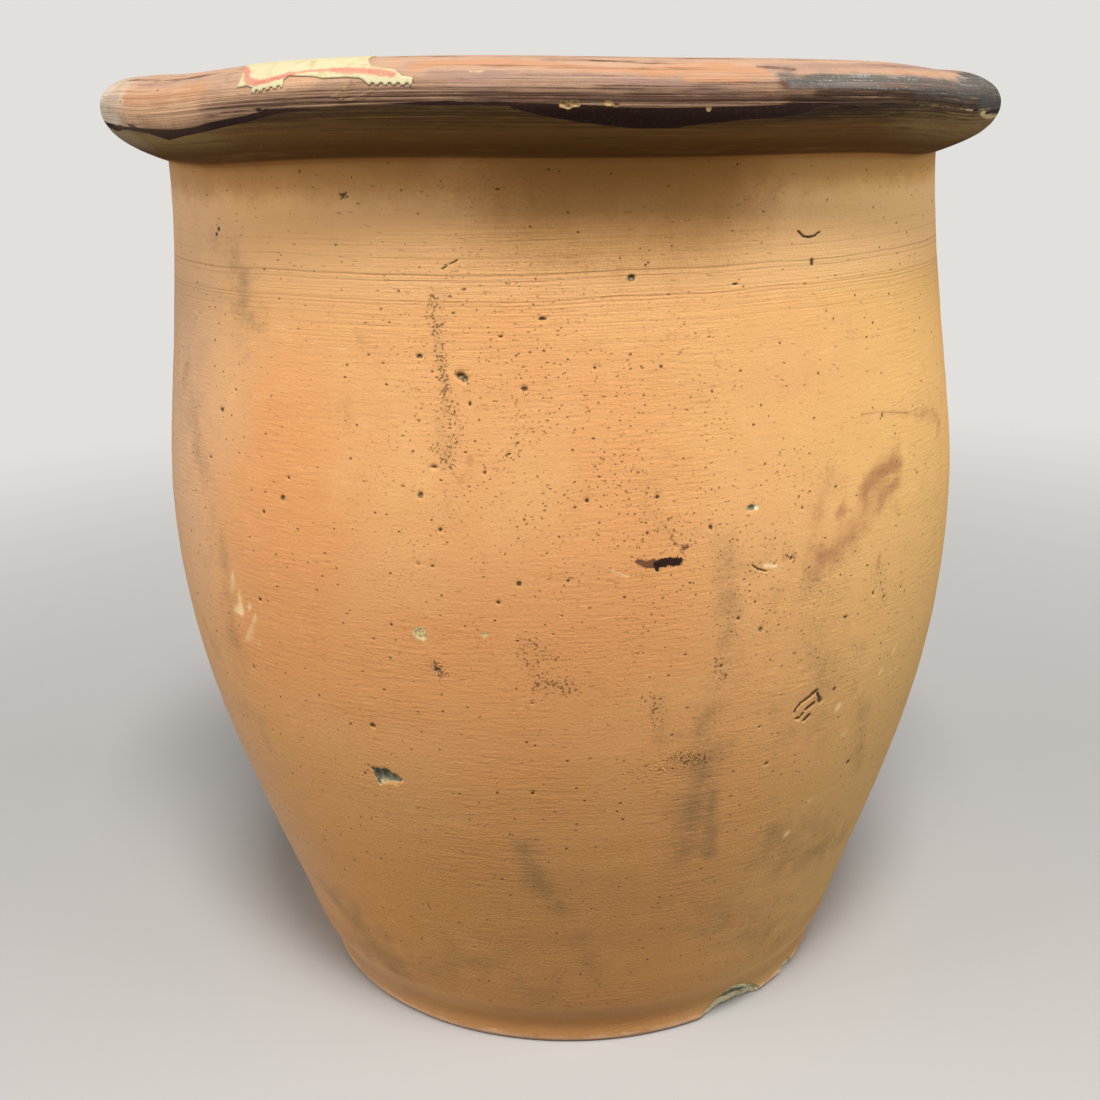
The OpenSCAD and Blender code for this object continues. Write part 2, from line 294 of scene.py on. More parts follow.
# Patches of the rim's worn top: bare orange clay, grey bloom, dark thin glaze and blue-grey glaze.
# Each is the places it runs through, its half width and its strength, like all that follow.
PEACH = (
    (((-56, 315.6), (-48, 315.2), (-39, 316.4)), 3.2, 0.62),
    (((-13.6, 318.6), (-11.5, 320), (-6, 320.2), (-3.3, 319.9)), 1.7, 0.95),
    (((-3.3, 319.9), (4.4, 318.6), (12.2, 318.1)), 1.3, 0.8),
    (((9.6, 318.4), (16.7, 319.4), (21, 318.2)), 2.3, 0.95), (((13, 316.6), (19, 316.5)), 1.3, 0.85),
    (((38.7, 318.9), (43, 319.1), (49.3, 319.4)), 1, 0.7), (((95, 318), (112, 319.5)), 2.4, 0.8),
    (((150, 319), (172, 317.6)), 2.4, 0.8), (((-100, 319), (-84, 317.4)), 2.6, 0.8),
    (((-150, 318), (-132, 319.5)), 2.2, 0.8),
)
LILAC = (
    (((-12, 317.2), (-2, 316.8), (10.1, 315.7), (16, 315.4)), 1.9, 0.75),
    (((-75, 314), (-60, 314.5)), 5, 0.5), (((-54, 318.8), (-36, 318.9)), 1.6, 0.6),
    (((21, 319.2), (28, 319.8), (46, 321), (60, 321.6)), 2.2, 0.8), (((-40, 314.6), (-30, 316)), 2, 0.4),
    (((70, 316), (92, 315)), 3, 0.6), (((-175, 317), (-140, 316)), 2.4, 0.7),
)
UMBER = (
    (((-36, 310.6), (-28, 311), (-20, 311.6), (-8, 311.6)), 1.5, 0.6),
    (((-24, 314), (-16, 315.2), (-9, 314.6)), 1.4, 0.4),
    (((-8, 311.8), (20, 311.9), (50, 312.6)), 1.7, 0.72),
    (((23, 315), (32, 314.4), (56, 314.2)), 2.6, 0.76), (((4, 313.8), (14, 314), (22, 314.6)), 2.4, 0.46),
    (((21, 319.6), (25.5, 319)), 0.8, 0.8), (((4, 320.6), (10, 320), (13, 319.8)), 0.5, 0.9),
    (((-62, 320.6), (-44.6, 319.9), (-30, 320.6)), 0.5, 0.9), (((-12, 321.6), (3, 321.3)), 0.5, 0.7),
    (((26, 317.6), (38.8, 317.2), (50, 317.6)), 0.6, 0.7), (((80, 312), (130, 313), (175, 312)), 2.2, 0.7),
    (((-175, 312), (-120, 313), (-80, 311)), 2, 0.7),
)
SLATE = (
    (((56, 319.4), (66, 320.4), (86, 320)), 3.2, 1), (((53, 316.6), (66, 317), (92, 316.6)), 3.4, 1),
    (((57, 313.2), (66, 313), (88, 313.6)), 3.4, 1), (((62, 310.6), (76, 310.4)), 2.2, 1),
    (((22.6, 317.4), (26, 317)), 1.3, 0.75), (((26, 316.7), (37, 317)), 1.4, 0.9),
    (((42, 314), (54, 314.4)), 2.2, 0.7), (((38, 316.6), (53, 316.6)), 1.9, 0.85),
    (((24, 315.7), (40, 315.5), (57, 315.2)), 1.5, 0.75), (((118, 316), (134, 313)), 5, 0.7),
    (((-172, 316), (-160, 312)), 4, 0.6),
)

# The paler left end of the rim, and the tan patch next to it
BONE = (
    (((-96, 314), (-76, 314), (-66, 314.5)), 9, 1), (((-66, 314), (-60, 314)), 9, 0.6),
    (((-90, 308), (-60, 308.6)), 4, 0.9), (((-84, 303), (-58, 303.6)), 5, 0.75),
)
TAN = (
    (((-62, 314), (-50, 313), (-41, 313.6)), 5.4, 0.95),
    (((-44, 312), (-34, 314.4), (-24, 316.6)), 2.2, 0.62),
)

# Dark burnt glaze along the rim's edge, and the scar that was torn in it under the label
BURNT = (
    (((24, 309.4), (40, 310.6), (56, 311.4)), 2.4, 1), (((27, 312.4), (44, 312.8), (53, 313)), 1.8, 0.75),
    (((-36, 308.2), (-22, 309.4), (-6, 309.8)), 1.4, 0.36), (((100, 308), (150, 309)), 2.4, 0.8),
    (((-150, 309), (-110, 308)), 2.4, 0.8),
)
SCAR = (
    (((-20.4, 315.2), (-20.7, 313.4), (-20.9, 312)), 1.5, 1),
    (((-21.9, 311.9), (-20.2, 311.4), (-19, 311.6), (-18, 312.7)), 0.5, 1),
)

# Cream ridged edge under the blue-grey glaze
CREAM = (
    (((-8, 317.6), (-7, 317.6)), 0.8, 0.6),
    (((41.4, 310.4), (47.4, 310.5), (54.2, 310.2), (58, 309.2)), 0.55, 0.7),
    (((58, 309.2), (61, 308.2), (64.5, 307.3), (70, 307.6)), 0.9, 0.9),
)


def linear(red, green, blue):
    """The colour as a shader takes it, from screen values of 0 to 255"""
    return tuple(
        ((part / 255 + 0.055) / 1.055) ** 2.4 if part > 10.31 else part / 255 / 12.92
        for part in (red, green, blue)
    )


# Colours that only shade a layer a little, so they aren't among those that the user can change
SCREEN_TINTS = {
    # Some of these tints are painted light and shade: the lightened neck and the three bands round the foot
    "lit": (255, 208, 150), "neck": (246, 196, 140), "wash": (146, 112, 60),
    "grey wash": (152, 134, 110), "rubbed ridge": (212, 172, 142), "soot grey": (58, 58, 58),
    "scar": (142, 112, 80), "torn": (182, 150, 112), "broken": (128, 128, 104),
    "fresh break": (236, 226, 184), "break shade": (84, 84, 66), "chip shade": (150, 112, 62),
    "rim chip": (156, 112, 72), "ring": (158, 104, 62), "foot band": (242, 186, 130),
    "foot shade": (160, 112, 70), "cove": (120, 78, 46), "worn foot": (232, 188, 150),
    "thin glaze": (74, 42, 36), "bleached paper": (250, 244, 216), "floor bounce": (124, 122, 119),
}
TINTS = {name: linear(*screen) for name, screen in SCREEN_TINTS.items()}


class Turned:
    """A turned surface: where each of its vertices lies, and soft marks drawn on it"""

    def __init__(self, section, azimuth, run):
        self.section = section
        self.azimuth = azimuth
        self.run = run
        self.radius = np.interp(run, section.run, section.radius)
        angle = np.radians(azimuth)
        self.radial = np.stack([np.sin(angle), -np.cos(angle)], 1)
        height = np.interp(run, section.run, section.height)
        self.places = np.column_stack([self.radial * self.radius[:, None], height])
        out, up = section.outward(run)
        self.normals = np.column_stack([self.radial * out[:, None], up])

    def offsets(self, azimuth, height):
        """How far each vertex lies from a place on the outside, round the pot and up it"""
        aside = (self.azimuth - azimuth + 180) % 360 - 180
        return np.radians(aside) * self.radius, self.run - self.section.run_at(height)

    def spot(self, azimuth, height, wide, high, turn=0.0):
        """1 in the middle of an oval spot, 0.5 on its edge and 0 well outside"""
        across, up = self.offsets(azimuth, height)
        c, s = math.cos(math.radians(turn)), math.sin(math.radians(turn))
        far = np.hypot((across * c + up * s) / wide, (up * c - across * s) / high)
        return np.clip(1 - far / 2, 0, 1)

    def stroke(self, places, wide, strength=1.0):
        """1 along a line through the places, 0.5 at its half width and 0 well outside"""
        found = np.zeros_like(self.run)
        for start, end in zip(places, places[1:]):
            across, up = self.offsets(*start)
            end_across = math.radians(end[0] - start[0]) * self.section.radius_at(start[1])
            end_up = self.section.run_at(end[1]) - self.section.run_at(start[1])
            share = (across * end_across + up * end_up) / (end_across**2 + end_up**2)
            share = np.clip(share, 0, 1)
            far = np.hypot(across - share * end_across, up - share * end_up)
            found = np.maximum(found, np.clip(1 - far / wide / 2, 0, 1))
        return found * strength


class Section:
    """The pot's outline from under its foot, up the outside, over the rim and down to the floor"""

    def __init__(self, points):
        pieces = [self.smoothed(stretch) for stretch in self.stretches(np.array(points))]
        line = np.vstack(pieces)
        keep = np.r_[True, np.hypot(*np.diff(line, axis=0).T) > 1e-6]
        self.radius, self.height = line[keep].T
        steps = np.hypot(np.diff(self.radius), np.diff(self.height))
        self.run = np.r_[0, np.cumsum(steps)]
        top = int(np.argmax(self.height))
        self.crest = self.run[top]
        self.outside = slice(int(np.argmax(self.height > 0.05)), top + 1)
        self.along = np.gradient(self.radius, self.run), np.gradient(self.height, self.run)

    @staticmethod
    def stretches(points):
        """The points, parted at each sharp turn"""
        ways = np.diff(points, axis=0)
        angles = np.degrees(np.arctan2(ways[:, 1], ways[:, 0]))
        turns = np.abs((np.diff(angles) + 180) % 360 - 180)
        cuts = [0, *(np.nonzero(turns > SHARP_TURN)[0] + 1), len(points) - 1]
        return [points[a : b + 1] for a, b in zip(cuts, cuts[1:])]

    @staticmethod
    def smoothed(points):
        """Close points on a smooth line through these"""
        run = np.r_[0, np.cumsum(np.hypot(*np.diff(points, axis=0).T))]
        if len(points) < 3:
            slopes = np.repeat((points[1:] - points[:-1]) / run[-1], 2, axis=0)
        else:
            slopes = np.gradient(points, run, axis=0, edge_order=2)
        at = np.linspace(0, run[-1], max(2, int(run[-1] / LINE_STEP)))
        cell = np.clip(np.searchsorted(run, at, side="right") - 1, 0, len(run) - 2)
        width = (run[cell + 1] - run[cell])[:, None]
        t = (at - run[cell])[:, None] / width
        return (
            (1 + 2 * t) * (1 - t) ** 2 * points[cell]
            + t * (1 - t) ** 2 * width * slopes[cell]
            + t * t * (3 - 2 * t) * points[cell + 1]
            + t * t * (t - 1) * width * slopes[cell + 1]
        )

    def run_at(self, height):
        """How far along the line the outside reaches a height"""
        found = np.interp(height, self.height[self.outside], self.run[self.outside])
        return found if np.ndim(height) else float(found)

    def radius_at(self, height):
        """Radius of the outside at a height"""
        return float(np.interp(self.run_at(height), self.run, self.radius))

    def outward(self, run):
        """Outward direction at each run, as its parts along the radius and upwards"""
        r = np.interp(run, self.run, self.along[1])
        h = -np.interp(run, self.run, self.along[0])
        size = np.maximum(np.hypot(r, h), 1e-9)
        return r / size, h / size


def cut_section(node):
    """The outline of a CAD node, cut through its back, as points from under the foot to the floor"""
    bm = bmesh.new()
    bm.from_mesh(node.data)
    bmesh.ops.remove_doubles(bm, verts=bm.verts, dist=WELD)
    for normal, other_side in (((0, 1, 0), False), ((1, 0, 0), True)):
        bmesh.ops.bisect_plane(
            bm, geom=bm.verts[:] + bm.edges[:] + bm.faces[:], dist=1e-7, plane_co=(0, 0, 0),
            plane_no=normal, clear_inner=True, clear_outer=other_side,
        )
    line = [min(bm.verts, key=lambda v: abs(v.co.y) + abs(v.co.z))]
    while True:
        onward = [e.other_vert(line[-1]) for e in line[-1].link_edges]
        onward = [v for v in onward if v not in line[-2:]]
        if not onward:
            break
        line.append(onward[0])
    points = [Vector((v.co.y, v.co.z)) / MM for v in line]
    bm.free()
    kept = points[:1]
    for point, after in zip(points[1:], points[2:]):
        if (point - kept[-1]).angle(after - point, 0) > math.radians(0.1):
            kept.append(point)
    return [tuple(point) for point in kept + points[-1:]]


def section_rows(section):
    """Where along the outline the rows of cells lie"""
    edges = (
        (section.run_at(0.1), BASE_CELL), (section.run_at(FLANK_FROM), FOOT_CELL),
        (section.run_at(SHOULDER_FROM), FLANK_CELL), (section.run_at(NECK), SHOULDER_CELL),
        (section.crest, RIM_CELL), (section.crest + 24, LIP_CELL), (section.run[-1], INSIDE_CELL),
    )
    runs = [0.0]
    for end, cell in edges:
        start = runs[-1]
        count = max(1, round((end - start) / cell))
        runs += [start + (end - start) * (i + 1) / count for i in range(count)]
    return np.array(runs)


def spin_pot(section, columns):
    """A closed mesh of the pot, turned from its outline"""
    bm = bmesh.new()
    run_layer = bm.verts.layers.float.new("run")
    line = []
    for run in section_rows(section):
        radius = np.interp(run, section.run, section.radius)
        height = np.interp(run, section.run, section.height)
        vert = bm.verts.new((0, radius * MM, height * MM))
        vert[run_layer] = run
        line.append(vert)
    edges = [bm.edges.new(pair) for pair in zip(line, line[1:])]
    bmesh.ops.spin(
        bm, geom=line + edges, cent=(0, 0, 0), axis=(0, 0, 1), angle=math.tau,
        steps=columns, use_merge=True,
    )
    bmesh.ops.remove_doubles(bm, verts=bm.verts, dist=1e-7)
    bmesh.ops.recalc_face_normals(bm, faces=bm.faces)
    return bm


def surface_of(bm, section):
    """The turned surface that a mesh's vertices lie on"""
    run_layer = bm.verts.layers.float["run"]
    places = np.array([v.co for v in bm.verts])
    azimuth = np.degrees(np.arctan2(places[:, 0], -places[:, 1]))
    return Turned(section, azimuth, np.array([v[run_layer] for v in bm.verts]))


def thin_marks():
    """Middles and half sizes of the cracks' parts"""
    marks = []
    for places, wide, _ in CRACKS:
        for (a, b), (c, d) in zip(places, places[1:]):
            across = abs(math.radians(c - a)) * SKIN_RADIUS
            marks.append(((a + c) / 2, (b + d) / 2, across / 2 + wide, abs(d - b) / 2 + wide))
    return marks


def small_marks():
    """Places whose cells are split, so that each has enough of them, with their half sizes"""
    return [mark[:4] for mark in PITS + STONE_PITS + PALE_SPOTS + BLOTCHES] + thin_marks()


def refine(bm, section, marks, spare, cuts):
    """Splits the cells round small marks"""
    surface = surface_of(bm, section)
    close = np.zeros(len(surface.run), bool)
    for azimuth, height, wide, high in marks:
        across, up = surface.offsets(azimuth, height)
        close |= (np.abs(across) < wide + spare) & (np.abs(up) < high + spare)
    bm.verts.index_update()
    edges = [e for e in bm.edges if close[e.verts[0].index] and close[e.verts[1].index]]
    bmesh.ops.subdivide_edges(bm, edges=edges, cuts=cuts, use_grid_fill=True)


def slow_noise(places, scale, octaves=1, shift=0.0):
    """Smooth noise from about -1 to 1 at each place, with features of about that many millimetres"""
    out = np.zeros(len(places))
    for octave in range(octaves):
        size = scale / 2**octave
        move = Vector((shift, SEED, octave * 3.7))
        out += np.array([noise.noise(Vector(p) / size + move) for p in places]) / 2**octave
    return out


def steps_up(x, low, high):
    """0 below low, 1 above high, and smooth between"""
    t = np.clip((x - low) / (high - low), 0, 1)
    return t * t * (3 - 2 * t)


def most(fields):
    """The strongest of several fields at each vertex"""
    return np.maximum.reduce(list(fields))


def warp(places, shape):
    """Places on the thrown pot as its drying moved them: it leans, and its rim tilts and waves"""
    x, y, z = places.T
    azimuth = np.degrees(np.arctan2(x, -y))
    height = cad_box[1][2] / MM
    rim = steps_up(z, height * 0.84, height * 0.955)
    crest = steps_up(z, height * 0.955, height)
    waves = (
        (rim, -50, 12, -1.6), (rim, -16, 18, 1.0), (rim, 55, 9, -1.3), (rim, 125, 30, 0.7),
        (rim, -130, 25, -0.6), (crest, -69, 8, -1.4), (crest, 72, 9, -1.9),
    )
    wave = np.zeros_like(x)
    for part, middle, size, amount in waves:
        aside = (azimuth - middle + 180) % 360 - 180
        wave += part * amount * np.exp(-((aside / size) ** 2))
    lift = shape.rim_wave * wave - rim * shape.rim_tilt * x
    return np.stack([x - shape.lean * z, y, z + lift], 1)


def add_values(mesh, name, values):
    """Stores a number or a vector for each vertex, for the materials to read"""
    vector = values.ndim == 2
    layer = mesh.attributes.get(name) or mesh.attributes.new(
        name, "FLOAT_VECTOR" if vector else "FLOAT", "POINT"
    )
    layer.data.foreach_set("vector" if vector else "value", values.astype(np.float32).ravel())


def add_skin_map(mesh, surface):
    """A UV map in millimetres: round the pot, and along its outline"""
    corners = np.empty(len(mesh.loops), np.int32)
    mesh.loops.foreach_get("vertex_index", corners)
    sizes = np.empty(len(mesh.polygons), np.int32)
    mesh.polygons.foreach_get("loop_total", sizes)
    face = np.repeat(np.arange(len(sizes)), sizes)
    middle = np.zeros((len(sizes), 2))
    np.add.at(middle, face, surface.places[corners][:, :2])
    facing = np.degrees(np.arctan2(middle[:, 0], -middle[:, 1]))[face]
    aside = (surface.azimuth[corners] - facing + 180) % 360 - 180
    aside[surface.radius[corners] < 0.01] = 0
    layer = mesh.uv_layers.new(name="skin")
    skin = np.stack([np.radians(facing + aside) * SKIN_RADIUS, surface.run[corners]], 1)
    layer.data.foreach_set("uv", skin.astype(np.float32).ravel())


def make_piece(name, mesh, node_name):
    """An object that rides on the pot's body, in place of a CAD node"""
    piece = bpy.data.objects.new(name, mesh)
    bpy.context.scene.collection.objects.link(piece)
    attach(piece, "root")
    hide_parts(node_name)
    return piece


def finish_mesh(bm, name, places):
    """A smooth mesh from a bmesh, with its vertices moved to these places"""
    mesh = bpy.data.meshes.new(name)
    bm.to_mesh(mesh)
    bm.free()
    mesh.vertices.foreach_set("co", (places * MM).astype(np.float32).ravel())
    mesh.polygons.foreach_set("use_smooth", [True] * len(mesh.polygons))
    mesh.update()
    return mesh


def thrown_relief(surface):
    """How far the thrower's hands moved the surface, along its outward direction"""
    section, run, places = surface.section, surface.run, surface.places
    outside = 1 - steps_up(run, section.crest, section.crest + 10)
    relief = 0.35 * slow_noise(places, 90, 2)
    relief += 0.1 * slow_noise(places * (0.12, 0.12, 1), 9, 2, 40)
    rim = steps_up(run, section.run_at(300), section.run_at(306)) * outside
    relief += rim * 0.16 * slow_noise(places * (0.06, 0.06, 1), 2.8, 1, 5)
    return np.where(run < section.run_at(0.1), 0, relief)


def dug(surface):
    """How deep the pits, chips and cracks are at each vertex"""
    depth = np.zeros_like(surface.run)
    for mark in PITS + STONE_PITS + PALE_SPOTS:
        depth = np.maximum(depth, mark[4] * steps_up(surface.spot(*mark[:4]), 0.35, 0.85))
    for places, wide, deep in CRACKS:
        depth = np.maximum(depth, deep * steps_up(surface.stroke(places, wide), 0.3, 0.8))
    return depth


def flake(places, azimuth, high, deep, radius, foot_radius):
    """Moves what a flake took off the foot back to the hollow that it left, and says how much went"""
    slope = math.atan2(deep, high)
    reach = math.sqrt(radius**2 - (high**2 + deep**2) / 4)
    out = foot_radius - deep / 2 + reach * math.cos(slope)
    a = math.radians(azimuth)
    middle = np.array([out * math.sin(a), -out * math.cos(a), high / 2 - reach * math.sin(slope)])
    away = places - middle
    far = np.linalg.norm(away, axis=1)
    taken = np.clip(radius - far, 0, None)
    rough = 0.6 * slow_noise(places, 6, 2, 20) + 0.3 * slow_noise(places, 2, 1, 30)
    move = np.where(taken > 0, taken + rough * steps_up(taken, 0, 0.8), 0)
    return places + away / np.maximum(far, 1e-9)[:, None] * move[:, None], taken


class PotShape(bpy.types.PropertyGroup):
    """How the thrown pot differs from a true turned one"""

    columns: bpy.props.IntProperty(
        name="Columns", description="Mesh cells round the pot", default=360, min=48, max=720
    )
    lean: bpy.props.FloatProperty(
        name="Lean", description="How far the pot leans to the left, for each unit of height",
        default=0.0048, min=-0.02, max=0.02,
    )
    rim_tilt: bpy.props.FloatProperty(
        name="Rim tilt", description="How far the rim drops to the right, for each unit of width",
        default=0.0177, min=-0.04, max=0.04,
    )
    rim_wave: bpy.props.FloatProperty(
        name="Rim wave", description="Strength of the waves in the rim", default=1.0, min=0, max=3
    )


def colour_property(name, description, *screen):
    """A colour that the user can change, from screen values of 0 to 255"""
    return bpy.props.FloatVectorProperty(
        name=name, description=description, subtype="COLOR", default=linear(*screen), min=0, max=1
    )


class PotColours(bpy.types.PropertyGroup):
    """The colours of the clay, the glaze and the paper"""

    clay: colour_property("Clay", "Bare clay, as most of the pot shows it", 226, 169, 109)
    flashed: colour_property("Flashed clay", "Clay where the flame reddened it", 222, 154, 95)
    yellow: colour_property("Yellow clay", "Clay where the kiln left it yellower", 226, 177, 109)
    ashy: colour_property("Ashy clay", "Clay with a thin grey bloom", 200, 162, 130)
    mossy: colour_property("Mossy clay", "Clay with an old olive stain", 204, 166, 106)
    # Painted shade: the colour that darkens the clay towards the bottom
    low_shade: colour_property("Low shade", "Browner clay low on the pot", 204, 145, 84)
    dragged: colour_property("Dragged clay", "The dark side of the thrower's drag marks", 196, 140, 84)
    # Painted shadow: the rim's shadow on the neck, as a warm darkening of the clay
    dusk: colour_property("Rim shadow", "The warm stain on the neck under the rim", 164, 114, 54)
    grime: colour_property("Grime", "Old dirt in soft streaks", 130, 108, 76)
    # Also the painted shade in the pits
    soot: colour_property("Soot", "Dark specks and the bottom of the pores", 66, 50, 32)
    pore: colour_property("Pores", "The fine pores", 98, 66, 32)
    pale: colour_property("Pale clay", "Fresh chips, and lime where it is thick", 222, 202, 146)
    lime: colour_property("Lime", "Soft drips and specks of lime", 250, 216, 164)
    stone: colour_property("Stone", "Grey-green broken body and stones", 150, 148, 120)
    slip: colour_property("Purple slip", "Thin purple brush marks", 148, 88, 66)
    dab: colour_property("Brown dabs", "Thin glaze round the dark blotch", 88, 50, 38)
    glaze: colour_property("Glaze", "Thick dark glaze", 42, 20, 12)
    slate: colour_property("Slate glaze", "Grey glaze on the rim's right side", 98, 94, 88)
    worn: colour_property("Worn rim", "Thin worn glaze on top of the rim", 188, 150, 122)
    ridged: colour_property("Ridged rim", "Worn glaze on the rim's ridged side", 152, 118, 92)
    umber: colour_property("Umber", "Dark thin glaze in streaks along the rim", 78, 52, 40)
    lilac: colour_property("Lilac bloom", "Greyish bloom on the worn rim", 160, 128, 112)
    # Also the colour of the painted shadow under the dark glaze band
    burnt: colour_property("Burnt glaze", "Dark glaze along the rim's edge", 54, 36, 22)
    # Painted glints: pale streaks that stand in for highlights on the glossy slate glaze
    glint: colour_property("Slate glints", "The paler streaks of the slate glaze", 192, 196, 186)
    bone: colour_property("Bone", "The pale greyish left end of the rim", 206, 190, 166)
    tan: colour_property("Tan", "Smooth tan glaze next to the pale end", 206, 162, 126)
    peach: colour_property("Peach clay", "Bare bright clay on the rim", 192, 142, 106)
    olive: colour_property("Olive wash", "Thin olive glaze under the rim", 132, 108, 66)
    # Painted shade: the olive glaze darkened in the middle of the front, where the rim's underside lies in
    # deepest shade
    dim: colour_property("Shaded wash", "The olive glaze in the middle of the front", 112, 82, 40)
    murky: colour_property("Murky wash", "The olive glaze where it is darker", 92, 60, 18)
    paper: colour_property("Paper", "The label's paper", 206, 194, 152)
    stained: colour_property("Stained paper", "The label's paper where it has browned", 190, 170, 118)
    ink: colour_property("Border ink", "The label's border line", 198, 92, 82)


class StageSettings(bpy.types.PropertyGroup):
    """The camera's place and the light"""

    eye: bpy.props.FloatVectorProperty(
        name="Eye", description="Place of the camera", subtype="XYZ", unit="LENGTH",
        default=(-0.0057, -0.5119, 0.3059),
    )
    pitch: bpy.props.FloatProperty(
        name="Pitch", description="How far the camera looks down", subtype="ANGLE",
        default=math.radians(16.91),
    )
    roll: bpy.props.FloatProperty(
        name="Roll", description="How far the camera is turned clockwise", subtype="ANGLE",
        default=math.radians(1.54),
    )
    focal: bpy.props.FloatProperty(
        name="Focal length", description="Focal length on a 36 mm sensor, in millimetres",
        default=45.82, min=10, max=200,
    )
    key_power: bpy.props.FloatProperty(
        name="Key light", description="Power of the soft lamp high over the front", unit="POWER",
        default=70.0, min=0,
    )
    right_power: bpy.props.FloatProperty(
        name="Right light", description="Power of the soft lamp on the right", unit="POWER",
        default=31.0, min=0,
    )
    left_power: bpy.props.FloatProperty(
        name="Left light", description="Power of the soft lamp on the left", unit="POWER",
        default=35.0, min=0,
    )
    sky: bpy.props.FloatProperty(
        name="Sky", description="Strength of the light from all round", default=0.13, min=0
    )
    floor: colour_property("Floor", "Colour of the floor", 184, 182, 179)
    backdrop: colour_property("Backdrop", "Colour behind the pot, which the floor fades into", 226, 224, 220)


class PotSettings(bpy.types.PropertyGroup):
    """Everything about the pot that can be changed"""

    shape: bpy.props.PointerProperty(type=PotShape, name="Shape", description="Shape")
    colours: bpy.props.PointerProperty(type=PotColours, name="Colours", description="Colours")
    stage: bpy.props.PointerProperty(type=StageSettings, name="Stage", description="Stage")


class Wire:
    """A value on its way through a material. Arithmetic on it adds Math nodes."""

    def __init__(self, recipe, socket):
        self.recipe = recipe
        self.socket = socket

    def math(self, operation, *values):
        return self.recipe.add("ShaderNodeMath", {"operation": operation}, dict(enumerate(values)))

    def __add__(self, other):
        return self.math("ADD", self, other)

    def __sub__(self, other):
        return self.math("SUBTRACT", self, other)

    def __mul__(self, other):
        return self.math("MULTIPLY", self, other)

    def __rsub__(self, other):
        return self.math("SUBTRACT", other, self)

    def over(self, other):
        return self.math("MAXIMUM", self, other)

    def sibling(self, output):
        """Another output of the node that this value comes from"""
        return Wire(self.recipe, self.socket.node.outputs[output])

    __radd__ = __add__
    __rmul__ = __mul__


class Recipe:
    """The nodes of a material or of the world, and short ways to add them"""

    def __init__(self, owner):
        self.owner = owner
        owner.use_nodes = True
        self.tree = owner.node_tree
        self.tree.nodes.clear()

    def add(self, kind, settings=None, sockets=None, output=0):
        """Adds a node, with its settings first and then the values or wires of its sockets"""
        node = self.tree.nodes.new(kind)
        for key, value in (settings or {}).items():
            if key == "stops":
                self.set_stops(node.color_ramp, value)
            else:
                setattr(node, key, value)
        for key, value in (sockets or {}).items():
            if isinstance(value, Wire):
                self.tree.links.new(value.socket, node.inputs[key])
            else:
                node.inputs[key].default_value = value
        return Wire(self, node.outputs[output]) if node.outputs else None

    @staticmethod
    def set_stops(ramp, stops):
        """Sets a colour ramp to grey stops: position and brightness"""
        while len(ramp.elements) < len(stops):
            ramp.elements.new(1.0)
        for element, (position, grey) in zip(ramp.elements, sorted(stops)):
            element.position = position
            element.color = (grey, grey, grey, 1.0)

    def stored(self, name, output="Fac"):
        """A value stored on the mesh"""
        return self.add("ShaderNodeAttribute", {"attribute_name": name}, output=output)

    def scaled(self, vector, scale):
        """A vector times another, part by part"""
        return self.add("ShaderNodeVectorMath", {"operation": "MULTIPLY"}, {0: vector, 1: scale})

    def noise(self, vector, scale, detail, roughness):
        """Noise around 0.5"""
        sockets = {"Vector": vector, "Scale": scale, "Detail": detail, "Roughness": roughness}
        return self.add("ShaderNodeTexNoise", {}, sockets)

    def ramp(self, value, low, high, to_low=0.0, to_high=1.0):
        """A smooth step from one value to another"""
        return self.add(
            "ShaderNodeMapRange", {"interpolation_type": "SMOOTHSTEP"},
            {"Value": value, "From Min": low, "From Max": high, "To Min": to_low, "To Max": to_high},
        )

    def mix(self, share, first, second):
        """A colour between two others"""
        sockets = {0: share, 6: self.colour(first), 7: self.colour(second)}
        return self.add("ShaderNodeMix", {"data_type": "RGBA"}, sockets, 2)

    @staticmethod
    def colour(value):
        """A colour with its alpha, or a wire as it is"""
        return value if isinstance(value, Wire) else (*value[:3], 1.0)

    def specks(self, place, stretch, cell, radius, share):
        """Specks of uneven size scattered over a surface, 1 inside each and 0 outside"""
        at = self.scaled(place, (1 / cell / stretch, 1 / cell, 1.0))
        settings = {"voronoi_dimensions": "2D", "feature": "F1"}
        far = self.add("ShaderNodeTexVoronoi", settings, {"Vector": at, "Scale": 1.0}, "Distance")
        chance = self.add("ShaderNodeSeparateColor", {}, {0: far.sibling("Color")}, "Blue")
        size = (chance - (1 - share)) * (radius / cell / share)
        return self.ramp(size - far, -0.02, 0.06)

    def bump(self, height):
        """A normal from a relief in millimetres"""
        return self.add("ShaderNodeBump", {}, {"Strength": 1.0, "Distance": MM, "Height": height})

    def finish(self, sockets):
        """Ends the material in a Principled shader with these sockets"""
        shader = self.add("ShaderNodeBsdfPrincipled", {}, sockets)
        self.add("ShaderNodeOutputMaterial", {}, {"Surface": shader})
        return self.owner


def ring_stops(section, rings, low, high):
    """Stops of a ramp over a stretch of the outline, dark in each ring"""
    stops = [(0.0, 1.0), (1.0, 1.0)]
    start, length = section.run_at(low), section.run_at(high) - section.run_at(low)
    for height, depth in rings:
        at = (section.run_at(height) - start) / length
        half = 0.42 / length
        stops += [(at - half, 1.0), (at, 1 - depth), (at + half, 1.0)]
    return stops


